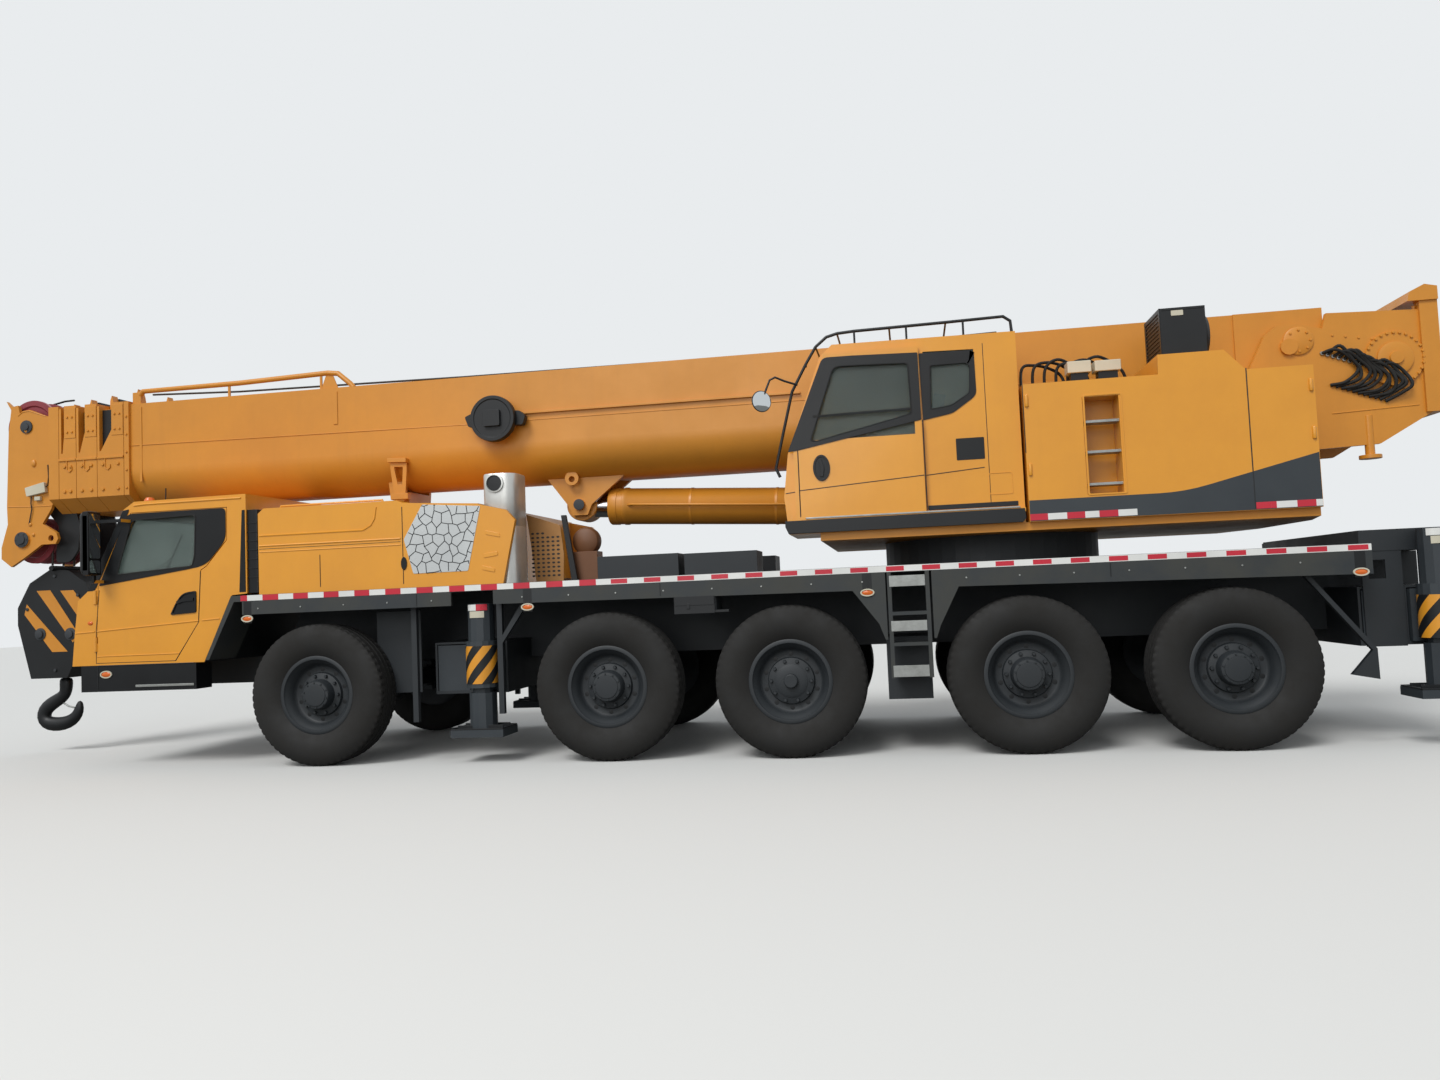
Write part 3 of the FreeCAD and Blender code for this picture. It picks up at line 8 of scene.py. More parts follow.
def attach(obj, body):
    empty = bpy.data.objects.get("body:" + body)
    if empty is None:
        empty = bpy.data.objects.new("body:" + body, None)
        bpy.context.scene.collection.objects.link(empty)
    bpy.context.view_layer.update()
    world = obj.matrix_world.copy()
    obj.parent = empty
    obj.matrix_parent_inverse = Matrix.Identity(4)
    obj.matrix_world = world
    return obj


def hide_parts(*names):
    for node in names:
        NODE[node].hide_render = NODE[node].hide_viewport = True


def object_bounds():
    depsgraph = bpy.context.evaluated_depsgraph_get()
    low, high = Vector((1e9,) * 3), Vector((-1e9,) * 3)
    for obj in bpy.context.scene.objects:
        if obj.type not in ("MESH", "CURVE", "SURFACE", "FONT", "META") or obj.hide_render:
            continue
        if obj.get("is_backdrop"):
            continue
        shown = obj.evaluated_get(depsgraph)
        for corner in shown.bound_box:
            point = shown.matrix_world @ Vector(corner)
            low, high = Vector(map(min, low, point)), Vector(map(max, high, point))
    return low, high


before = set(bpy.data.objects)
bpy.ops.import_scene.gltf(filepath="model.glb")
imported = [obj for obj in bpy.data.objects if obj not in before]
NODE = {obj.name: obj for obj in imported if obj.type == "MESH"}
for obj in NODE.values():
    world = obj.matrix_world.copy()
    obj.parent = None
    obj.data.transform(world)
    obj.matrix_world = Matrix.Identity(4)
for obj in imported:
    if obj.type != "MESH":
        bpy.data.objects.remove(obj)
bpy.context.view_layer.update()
scene = bpy.context.scene

# Camera: beside the crane, a little turned towards its front and rolled, as the photograph was taken
YAW, PITCH, ROLL = math.radians(9.39), math.radians(3.11), math.radians(2.44)
ahead = Vector((-math.sin(YAW) * math.cos(PITCH), math.cos(YAW) * math.cos(PITCH), math.sin(PITCH)))
level = ahead.cross(Vector((0, 0, 1))).normalized()
upright = level.cross(ahead)
right = level * math.cos(ROLL) - upright * math.sin(ROLL)
above = upright * math.cos(ROLL) + level * math.sin(ROLL)
camera = bpy.data.objects.new("camera", bpy.data.cameras.new("camera"))
camera.data.sensor_width = 36
camera.data.lens = 26.0
camera.data.clip_end = 400
camera.matrix_world = Matrix((
    (right.x, above.x, -ahead.x, 2.529), (right.y, above.y, -ahead.y, -10.772), (right.z, above.z, -ahead.z, 1.470),
    (0, 0, 0, 1)))
scene.collection.objects.link(camera)
scene.camera = camera
scene.view_settings.view_transform = "Standard"


# Colours and materials
def srgb(text):
    """A colour written as sRGB hex, turned to linear light with alpha 1."""
    c = np.array([int(text[i:i + 2], 16) for i in (1, 3, 5)]) / 255
    linear = np.where(c <= 0.04045, c / 12.92, ((c + 0.055) / 1.055) ** 2.4)
    return tuple(linear) + (1.0,)


def add(tree, kind, links=None, **settings):
    """Adds a node: settings are its properties, links its inputs, each a value or (node, output)."""
    made = tree.nodes.new(kind)
    for key, value in settings.items():
        setattr(made, key, value)
    for key, value in (links or {}).items():
        if isinstance(value, tuple) and isinstance(value[0], bpy.types.Node):
            tree.links.new(value[0].outputs[value[1]], made.inputs[key])
        else:
            made.inputs[key].default_value = value
    return made


def ramp(tree, source, stops):
    """A colour ramp over a value, with stops of (position, colour)."""
    made = add(tree, "ShaderNodeValToRGB", {"Fac": source})
    made.color_ramp.elements[0].position, made.color_ramp.elements[1].position = stops[0][0], stops[-1][0]
    made.color_ramp.elements[0].color, made.color_ramp.elements[1].color = stops[0][1], stops[-1][1]
    for place, colour in stops[1:-1]:
        made.color_ramp.elements.new(place).color = colour
    return made


def surface(name, base, tint, spread=0.35, rough=0.4, rough_to=0.6, metal=0.0, grain=900.0, relief=0.02,
        blotch=1.6, streak=0.0, **plain):
    """A material of two near tones in blotches, with roughness that follows them and a fine relief.

    grain is the relief's scale per metre, blotch the scale of the tones, streak adds marks that run down.
    """
    mat = bpy.data.materials.new(name)
    mat.use_nodes = True
    tree = mat.node_tree
    shader = tree.nodes["Principled BSDF"]
    place = add(tree, "ShaderNodeTexCoord")
    cloud = add(tree, "ShaderNodeTexNoise", {"Vector": (place, "Object"), "Scale": blotch, "Detail": 8.0,
        "Roughness": 0.62})
    tones = ramp(tree, (cloud, "Fac"), [(0.5 - spread / 2, srgb(base)), (0.5 + spread / 2, srgb(tint))])
    out = (tones, "Color")
    if streak:
        down = add(tree, "ShaderNodeMapping", {"Vector": (place, "Object"), "Scale": (9.0, 9.0, 0.7)})
        marks = add(tree, "ShaderNodeTexNoise", {"Vector": (down, "Vector"), "Scale": 1.0, "Detail": 6.0})
        thin = add(tree, "ShaderNodeMapRange", {"Value": (marks, "Fac"), "From Min": 0.52, "From Max": 0.8,
            "To Min": 0.0, "To Max": streak})
        mixed = add(tree, "ShaderNodeMix", {"Factor": (thin, "Result"), "A": out, "B": srgb("#3A342C")},
            data_type="RGBA")
        out = (mixed, "Result")
    tree.links.new(out[0].outputs[out[1]] if out[1] != "Result" else out[0].outputs[2], shader.inputs["Base Color"])
    gloss = add(tree, "ShaderNodeMapRange", {"Value": (cloud, "Fac"), "From Min": 0.3, "From Max": 0.7,
        "To Min": rough, "To Max": rough_to})
    tree.links.new(gloss.outputs["Result"], shader.inputs["Roughness"])
    fine = add(tree, "ShaderNodeTexNoise", {"Vector": (place, "Object"), "Scale": grain, "Detail": 2.0})
    bump = add(tree, "ShaderNodeBump", {"Height": (fine, "Fac"), "Strength": relief, "Distance": 0.002})
    tree.links.new(bump.outputs["Normal"], shader.inputs["Normal"])
    shader.inputs["Metallic"].default_value = metal
    for key, value in plain.items():
        shader.inputs[key.replace("_", " ")].default_value = value
    return mat


# Sprayed two-pack enamel on sheet steel: glossy, slightly uneven with road dust, fine orange peel
cab_enamel = surface("cab_enamel", "#E29A2A", "#D99228", rough=0.28, rough_to=0.42, grain=420.0, relief=0.015,
    streak=0.03, Coat_Weight=0.25, Coat_Roughness=0.12)
# The same enamel on rolled boom plate: more orange, duller, with long run marks
boom_enamel = surface("boom_enamel", "#D48C2A", "#C98427", rough=0.36, rough_to=0.55, grain=300.0, relief=0.02,
    streak=0.05, Coat_Weight=0.12, Coat_Roughness=0.25)
# Chassis enamel, slate grey, satin, dulled by dust
chassis_enamel = surface("chassis_enamel", "#2A3035", "#33393D", rough=0.42, rough_to=0.65, grain=300.0, relief=0.03,
    streak=0.08)
# Frame, axles and wheel discs: the same grey, painted darker as shade under the deck, and with road film
shaded_frame_enamel = surface("shaded_frame_enamel", "#1C2125", "#24282B", rough=0.5, rough_to=0.7, grain=300.0, relief=0.03,
    streak=0.06)
# Deck plate: the same grey with trodden-in dirt
deck_enamel = surface("deck_enamel", "#262B2E", "#3A3B37", spread=0.3, rough=0.55, rough_to=0.8, grain=180.0,
    relief=0.06, blotch=2.4)
# Black enamel on brackets, block and cases
black_enamel = surface("black_enamel", "#0F1113", "#181A1C", rough=0.38, rough_to=0.55, grain=300.0, relief=0.02,
    Specular_IOR_Level=0.4)
# Moulded black ABS on window surrounds and mirrors
black_abs = surface("black_abs", "#0B0C0E", "#121416", rough=0.32, rough_to=0.45, grain=600.0, relief=0.02,
    Specular_IOR_Level=0.35)
# Cast polyamide sheaves, dark red
red_polyamide = surface("red_polyamide", "#7E2F36", "#923B43", rough=0.35, rough_to=0.5, grain=200.0, relief=0.03)
# Brushed stainless sheet of the exhaust
stainless_sheet = surface("stainless_sheet", "#D2D2CE", "#BEBEBA", rough=0.25, rough_to=0.4, metal=0.55, grain=900.0,
    relief=0.03, blotch=3.0)
# Hard chrome on the cylinder rod
hard_chrome = surface("hard_chrome", "#D8D9DA", "#C9CBCD", rough=0.1, rough_to=0.18, metal=1.0, grain=500.0,
    relief=0.01)
# Grey cast iron of engine and brackets
cast_iron = surface("cast_iron", "#33363A", "#44474A", rough=0.55, rough_to=0.75, metal=0.3, grain=260.0, relief=0.15)
# Cab trim of grained polyurethane
grained_trim = surface("grained_trim", "#2A2B2D", "#333436", rough=0.55, rough_to=0.7, grain=700.0, relief=0.12)
# Tyre rubber: near black, brownish dust on the walls
tyre_rubber = surface("tyre_rubber", "#0E0E0D", "#1B1916", spread=0.5, rough=0.7, rough_to=0.9, grain=350.0,
    relief=0.10, blotch=3.5)
# Reflective tape: microprismatic film, white and red
tape_white = surface("tape_white", "#E6E6E2", "#D6D7D3", rough=0.25, rough_to=0.35, grain=800.0, relief=0.03)
tape_red = surface("tape_red", "#C8283A", "#B92235", rough=0.25, rough_to=0.35, grain=800.0, relief=0.03)
# Zinc-plated checker plate of steps
plated_steel = surface("plated_steel", "#A9ABA8", "#8F918D", rough=0.35, rough_to=0.55, metal=0.8, grain=60.0,
    relief=0.5, blotch=8.0)
# Amber and red lamp lenses of acrylic
amber_acrylic = surface("amber_acrylic", "#E0702A", "#D2641F", rough=0.12, rough_to=0.2, grain=300.0, relief=0.05)
red_acrylic = surface("red_acrylic", "#B3202A", "#A01A24", rough=0.12, rough_to=0.2, grain=300.0, relief=0.05)
# Pale grey coated cabinets and junction boxes
pale_coating = surface("pale_coating", "#CFC9B4", "#BDB7A2", rough=0.4, rough_to=0.55, grain=300.0, relief=0.03)
# Silver printed film on the hood panel
pale_film = surface("pale_film", "#C9CCCB", "#B9BCBC", rough=0.3, rough_to=0.4, metal=0.25, grain=500.0, relief=0.02)
# Tan primer on the perforated guard
tan_primer = surface("tan_primer", "#A9793F", "#946633", rough=0.5, rough_to=0.7, grain=260.0, relief=0.05)
# Brown enamel of the air drum
brown_enamel = surface("brown_enamel", "#6E4526", "#5C3A22", rough=0.5, rough_to=0.7, grain=260.0, relief=0.06)
# Silvered mirror glass
mirror_glass = surface("mirror_glass", "#D5DADB", "#CDD2D4", rough=0.03, rough_to=0.06, metal=1.0, grain=50.0,
    relief=0.0)
# Wire rope, greased
wire_rope = surface("wire_rope", "#2B2826", "#3C3733", rough=0.45, rough_to=0.6, metal=0.4, grain=260.0, relief=0.5)


def window_glass():
    """Tinted laminated glass: a thin grey-green pane that shows the cab behind it and reflects the sky."""
    mat = bpy.data.materials.new("tinted_glass")
    mat.use_nodes = True
    tree = mat.node_tree
    shader = tree.nodes["Principled BSDF"]
    place = add(tree, "ShaderNodeTexCoord")
    film = add(tree, "ShaderNodeTexNoise", {"Vector": (place, "Object"), "Scale": 2.0, "Detail": 4.0})
    dust = ramp(tree, (film, "Fac"), [(0.35, srgb("#9BA6A1")), (0.7, srgb("#8D9894"))])
    tree.links.new(dust.outputs["Color"], shader.inputs["Base Color"])
    gloss = add(tree, "ShaderNodeMapRange", {"Value": (film, "Fac"), "From Min": 0.3, "From Max": 0.7,
        "To Min": 0.02, "To Max": 0.07})
    tree.links.new(gloss.outputs["Result"], shader.inputs["Roughness"])
    shader.inputs["Transmission Weight"].default_value = 0.78
    shader.inputs["IOR"].default_value = 1.1
    return mat


tinted_glass = window_glass()

# Material of each CAD node
DRESS = {
    "carrier_cab": cab_enamel, "cab_door_left": cab_enamel, "cab_door_right": cab_enamel, "engine_hood": cab_enamel,
    "operator_cab": cab_enamel, "operator_door": cab_enamel, "left_housing": cab_enamel, "right_housing": cab_enamel,
    "base_boom": boom_enamel, "turntable": boom_enamel, "luff_barrel": boom_enamel, "luff_rod": hard_chrome,
    "deck_plates": deck_enamel, "chassis_frame": shaded_frame_enamel, "axle_beams": shaded_frame_enamel,
    "boxes_and_tanks": shaded_frame_enamel, "slew_ring": shaded_frame_enamel, "boom_rest": boom_enamel,
    "cab_bumper_steps": black_abs, "carrier_cab_interior": grained_trim, "operator_station": grained_trim,
    "carrier_cab_glass": tinted_glass, "operator_cab_glass": tinted_glass, "engine_block": cast_iron,
    "exhaust_box": stainless_sheet, "head_sheaves": red_polyamide, "hoist_winch": black_enamel,
    "hook": black_enamel, "hook_block": black_enamel, "oil_cooler": black_enamel}
for name, obj in NODE.items():
    if name.startswith("tele_section"):
        mat = boom_enamel
    elif name.startswith("wheel"):
        mat = tyre_rubber
    else:
        mat = DRESS.get(name, chassis_enamel)
    obj.data.materials.clear()
    obj.data.materials.append(mat)


# Mesh makers: every new piece is one or more grids of points, computed as whole arrays
def skin(grid, wrap_u=False, wrap_v=True, caps=True):
    """Points (m, n, 3), m stations of n points, joined to quads. Stations or points may close on themselves.

    Open stations that are closed rings get a flat cap at each end.
    """
    m, n = grid.shape[:2]
    a, b = np.meshgrid(np.arange(m if wrap_u else m - 1), np.arange(n if wrap_v else n - 1), indexing="ij")
    c, d = (a + 1) % m, (b + 1) % n
    quads = np.stack([a * n + b, c * n + b, c * n + d, a * n + d], -1).reshape(-1, 4).tolist()
    if caps and wrap_v and not wrap_u:
        quads += [list(range(n))[::-1], list(range((m - 1) * n, m * n))]
    return grid.reshape(-1, 3), quads


PLANES = {"XZ": ((1, 0, 0), (0, 0, 1), (0, 1, 0)), "YZ": ((0, 1, 0), (0, 0, 1), (1, 0, 0)),
    "XY": ((1, 0, 0), (0, 1, 0), (0, 0, 1))}


def slab(plane, outline, low, high):
    """An outline in a plane carried straight from low to high along the plane's normal."""
    u, v, w = (np.array(k, float) for k in PLANES[plane])
    flat = np.array([p[0] for p in outline])[:, None] * u + np.array([p[1] for p in outline])[:, None] * v
    return skin(np.stack([flat + low * w, flat + high * w]))


def brick(x0, x1, y0, y1, z0, z1):
    """A right-angled block between two corners."""
    return slab("XY", oblong(x0, x1, y0, y1), z0, z1)


def tube(path, radius, sides=12):
    """A circle carried along a path, turned at each point to stand square to the mean direction."""
    p = np.array(path, float)
    on = np.diff(p, axis=0)
    on /= np.linalg.norm(on, axis=1)[:, None]
    t = np.vstack([on, on[-1:]]) + np.vstack([on[:1], on])
    t /= np.linalg.norm(t, axis=1)[:, None]
    up = np.array([0.0, 0, 1]) if abs(t[:, 2]).max() < 0.9 else np.array([0.31, 0.91, 0.27])
    a = np.cross(t, up)
    a /= np.linalg.norm(a, axis=1)[:, None]
    b = np.cross(a, t)
    ang = np.linspace(0, 2 * np.pi, sides, endpoint=False)[:, None]
    ring = a[:, None] * np.cos(ang) * radius + b[:, None] * np.sin(ang) * radius
    return skin(p[:, None] + ring)


def turned(profile, centre, axis, sides=32, closed=False):
    """A profile of (radius, distance along the axis) turned round the axis through the centre."""
    w = np.array(axis, float) / np.linalg.norm(axis)
    u = np.cross(w, (0.0, 0, 1) if abs(w[2]) < 0.9 else (1.0, 0, 0))
    u /= np.linalg.norm(u)
    v = np.cross(w, u)
    ang = np.linspace(0, 2 * np.pi, sides, endpoint=False)[:, None, None]
    r = np.array([p[0] for p in profile], float)[None, :, None]
    h = np.array([p[1] for p in profile], float)[None, :, None]
    grid = np.array(centre, float) + r * (np.cos(ang) * u + np.sin(ang) * v) + h * w
    return skin(grid.transpose(1, 0, 2), wrap_u=closed, caps=not closed)


def studs(places, axis, radius, height, sides=6):
    """The same small prism set at many places, standing out along an axis."""
    base, faces = turned([(radius, 0), (radius, height * 0.75), (radius * 0.8, height)], (0, 0, 0), axis, sides)
    p = np.array(places, float)
    verts = (p[:, None] + base[None]).reshape(-1, 3)
    n = len(base)
    return verts, [[k + n * i for k in f] for i in range(len(p)) for f in faces]


def piece(name, body, mat, parts, bevel=0.0, smooth=30, stands_for=()):
    """Joins parts (points, faces) to one mesh, points its faces outwards, rounds its edges and makes it ride."""
    verts, faces, base = [], [], 0
    for v, f in parts:
        verts.append(np.asarray(v, float))
        faces += [[k + base for k in face] for face in f]
        base += len(v)
    mesh = bpy.data.meshes.new(name)
    mesh.from_pydata(np.concatenate(verts).tolist(), [], faces)
    work = bmesh.new()
    work.from_mesh(mesh)
    bmesh.ops.recalc_face_normals(work, faces=work.faces)
    work.to_mesh(mesh)
    work.free()
    mesh.materials.append(mat)
    obj = bpy.data.objects.new(name, mesh)
    scene.collection.objects.link(obj)
    mesh.shade_smooth()
    mesh.set_sharp_from_angle(angle=math.radians(smooth))
    if bevel:
        edge = obj.modifiers.new("edge", "BEVEL")
        edge.width, edge.segments, edge.limit_method, edge.angle_limit = bevel, 2, "ANGLE", math.radians(35)
        edge.harden_normals = True
    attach(obj, body)
    if stands_for:
        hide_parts(*stands_for)
    return obj


def rounded(outline, radius, steps=5):
    """Each corner of an outline becomes a parabola that touches both sides; radius is how far it cuts them."""
    p = np.array(outline, float)
    back, on = np.roll(p, 1, 0) - p, np.roll(p, -1, 0) - p
    cut = np.broadcast_to(np.array(radius, float), len(p))[:, None]
    start = p + back / np.linalg.norm(back, axis=1)[:, None] * cut
    stop = p + on / np.linalg.norm(on, axis=1)[:, None] * cut
    t = np.linspace(0, 1, steps)[:, None, None]
    arc = (1 - t) ** 2 * start + 2 * t * (1 - t) * p + t ** 2 * stop
    return arc.transpose(1, 0, 2).reshape(-1, 2)


def band(plane, outer, inner, low, high):
    """A flat ring between two outlines of equally many corners, as thick as from low to high."""
    u, v, w = (np.array(k, float) for k in PLANES[plane])
    outer, inner = np.array(outer, float), np.array(inner, float)
    loops = [(outer, low), (outer, high), (inner, high), (inner, low)]
    return skin(np.stack([k[:, :1] * u + k[:, 1:] * v + h * w for k, h in loops]), wrap_u=True)


def strip(points, width, low, high):
    """A flat band of even width along a broken line of (x, z), as thick in y as from low to high."""
    p = np.array(points, float)
    along = np.gradient(p, axis=0)
    along /= np.linalg.norm(along, axis=1)[:, None]
    off = np.stack([-along[:, 1], along[:, 0]], 1) * width / 2
    return slab("XZ", np.concatenate([p + off, (p - off)[::-1]]), low, high)


def laid(part, origin, u, v):
    """A part drawn flat (X, Y, height) is laid on a slanted plane: origin + X u + Y v + height along u x v."""
    verts, faces = part
    axes = np.array([u, v], float)
    axes /= np.linalg.norm(axes, axis=1)[:, None]
    axes = np.vstack([axes, np.cross(axes[0], axes[1])])
    return np.asarray(verts) @ axes + np.array(origin, float), faces


def ellipse(x, z, a, b, count=32):
    """Points of an ellipse with half axes a and b."""
    t = np.linspace(0, 2 * np.pi, count, endpoint=False)
    return np.stack([x + a * np.cos(t), z + b * np.sin(t)], 1)


def oblong(x0, x1, z0, z1):
    """The corners of a rectangle."""
    return [(x0, z0), (x1, z0), (x1, z1), (x0, z1)]


def proud(face, out):
    """From a side face outwards by a distance, or inwards if it is negative."""
    return face, face + math.copysign(1, face) * out


def bead(points, y, radius=0.005):
    """A thin round bead along (x, z) points on a side face."""
    return tube([(x, y, z) for x, z in points], radius, 6)


def around(x, y, z, radius, angles):
    """Places at the given angles round a centre, all at the same y."""
    return [(x + radius * math.cos(a), y, z + radius * math.sin(a)) for a in angles]


def eased(points, steps=6):
    """A smooth path through points: between two of them a cubic whose tangents come from the neighbours."""
    p = np.array(points, float)
    q = np.vstack([2 * p[0] - p[1], p, 2 * p[-1] - p[-2]])
    s = np.linspace(0, 1, steps, endpoint=False)[:, None]
    parts = [0.5 * (2 * b + (c - a) * s + (2 * a - 5 * b + 4 * c - d) * s ** 2 + (3 * b - a - 3 * c + d) * s ** 3)
        for a, b, c, d in zip(q, q[1:], q[2:], q[3:])]
    return np.vstack(parts + [p[-1:]])


def lens(plane, x, z, a, b, low, high):
    """A domed oval: rings of an ellipse shrink with the cosine and rise with the sine of a quarter turn."""
    u, v, w = (np.array(k, float) for k in PLANES[plane])
    q = np.linspace(0, np.pi / 2 - 0.12, 6)
    ring = ellipse(0, 0, 1, 1)
    grid = np.stack([(x + a * np.cos(k) * ring[:, :1]) * u + (z + b * np.cos(k) * ring[:, 1:]) * v
        + (low + (high - low) * np.sin(k)) * w for k in q])
    return skin(grid)


def other_slot(node, mat, test):
    """Gives the faces of a CAD node whose corners all pass a test on their places another material."""
    mesh = NODE[node].data
    mesh.materials.append(mat)
    places = np.empty(len(mesh.vertices) * 3)
    mesh.vertices.foreach_get("co", places)
    corners = np.empty(len(mesh.loops), int)
    mesh.loops.foreach_get("vertex_index", corners)
    chosen = test(places.reshape(-1, 3))[corners].reshape(-1, 3).all(1)
    index = np.empty(len(mesh.polygons), int)
    mesh.polygons.foreach_get("material_index", index)
    index[chosen] = len(mesh.materials) - 1
    mesh.polygons.foreach_set("material_index", index)


SIDES = ((-1, "left"), (1, "right"))
# Side faces that pieces lie on, in y, each 0.2 mm off the solid
CAB, DECK, HOOD, HOUSING = 1.3902, 1.4902, 1.4502, 1.4902
HEAD_BLOCK, HEAD, CHEEK, FLANGE = 0.4902, 0.4302, 0.5402, 0.5602
BELLY, CHEEK_OF_BLOCK = 0.4628, 0.2102
for side, word in SIDES:
    other_slot("cab_door_" + word, tinted_glass, lambda p: (abs(p[:, 1]) > 1.3515) & (abs(p[:, 1]) < 1.3605))
    other_slot("cab_door_" + word, black_abs, lambda p: (abs(p[:, 1]) > 1.45) | ((p[:, 0] < -5.33) & (p[:, 2] > 1.91)))
other_slot("operator_door", tinted_glass, lambda p: (p[:, 1] > -1.4725) & (p[:, 1] < -1.4635))

# Wheels: tyre with ribs and sipes, rim with hand holes drawn as black discs (painted shade of the openings), stepped
# hub cap with its bolts
AXLES = {1: -3.030, 2: -0.125, 3: 1.570, 4: 3.634, 5: 5.320}
WHEEL_Z, WHEEL_Y = 0.685, 1.295


def tyre(x, side):
    """Tyre wall and tread turned about the wheel's axis; the tread is five ribs, cut across by a slanted wave.

    Radius and width come from the profile; a groove lowers the radius where the rib pattern says so.
    """
    across = np.array([-0.135, -0.150, -0.172, -0.1945, -0.192, -0.182, -0.170, -0.160, -0.150, -0.118, -0.114,
        -0.106, -0.102, -0.044, -0.040, -0.032, -0.028, 0.028, 0.032, 0.040, 0.044, 0.102, 0.106,
        0.114, 0.118, 0.150, 0.160, 0.170, 0.182, 0.192, 0.1945, 0.175, 0.150, 0.135])
    radius = np.array([0.366, 0.388, 0.432, 0.500, 0.575, 0.615, 0.640, 0.662, 0.676, 0.6835, 0.668,
        0.668, 0.684, 0.685, 0.669, 0.669, 0.685, 0.685, 0.669, 0.669, 0.685, 0.684, 0.668,
        0.668, 0.6835, 0.676, 0.662, 0.640, 0.615, 0.575, 0.500, 0.432, 0.388, 0.366])
    turn = np.linspace(0, 2 * np.pi, 240, endpoint=False)[:, None]
    cut = 0.5 + 0.5 * np.sign(np.sin(turn * 60 + across[None] * 18) - 0.72)
    tread = (radius[None] > 0.66) & (np.abs(across[None]) > 0.04)
    r = radius[None] - 0.009 * cut * tread
    wave = 0.004 * np.sin(turn * 60) * ((np.abs(across[None]) < 0.12) & (radius[None] > 0.66))
    y = side * (WHEEL_Y + across[None] + wave)
    grid = np.stack([x + r * np.cos(turn), np.broadcast_to(y, r.shape), WHEEL_Z + r * np.sin(turn)], -1)
    return skin(grid, wrap_u=True, wrap_v=False, caps=False)


for number, ax in AXLES.items():
    for word, side in (("left", -1), ("right", 1)):
        body = "wheel_%d_%s" % (number, word)
        axis = (0, side, 0)
        piece("tyre_%d_%s" % (number, word), body, tyre_rubber, [tyre(ax, side)], smooth=40,
            stands_for=[body])
        mid = (ax, side * WHEEL_Y, WHEEL_Z)
        dish = [turned([(0.366, -0.150), (0.376, -0.146), (0.376, -0.135), (0.340, -0.118), (0.315, -0.06),
                (0.306, 0.03), (0.318, 0.110), (0.340, 0.118), (0.376, 0.135), (0.378, 0.146),
                (0.366, 0.152), (0.344, 0.150), (0.332, 0.128), (0.316, 0.116), (0.292, 0.060),
                (0.278, 0.038), (0.262, 0.030), (0.215, 0.034), (0.205, 0.060), (0.160, 0.072),
                (0.150, 0.074), (0.150, -0.120), (0.280, -0.130)], mid, axis, 96, closed=True)]
        ang = np.arange(10) * 2 * np.pi / 10 + 0.3
        holes = around(ax, mid[1] + side * 0.0322, WHEEL_Z, 0.240, ang)
        nuts = around(ax, mid[1] + side * 0.062, WHEEL_Z, 0.182, ang + 0.31)
        dish.append(studs(nuts, axis, 0.017, 0.028))
        if number == 3:
            dish.append(turned([(0.150, 0.0), (0.150, 0.078), (0.120, 0.090), (0.066, 0.092), (0.062, 0.128),
                    (0.054, 0.134), (0.0005, 0.134)], mid, axis, 48))
        else:
            dish.append(turned([(0.150, 0.0), (0.150, 0.080), (0.143, 0.092), (0.140, 0.150), (0.130, 0.166),
                    (0.108, 0.170), (0.104, 0.176), (0.085, 0.178), (0.0005, 0.178)], mid, axis, 48))
            dish.append(studs(around(ax, mid[1] + side * 0.167, WHEEL_Z, 0.119, ang + 0.1), axis, 0.008, 0.010))
        piece("rim_%d_%s" % (number, word), body, shaded_frame_enamel, dish, smooth=35)
        # Hand holes as thin black discs on the rim: painted shade seen through the openings
        piece("hand_hole_shade_%d_%s" % (number, word), body, black_enamel, [studs(holes, axis, 0.021, 0.0016, 20)],
            smooth=60)

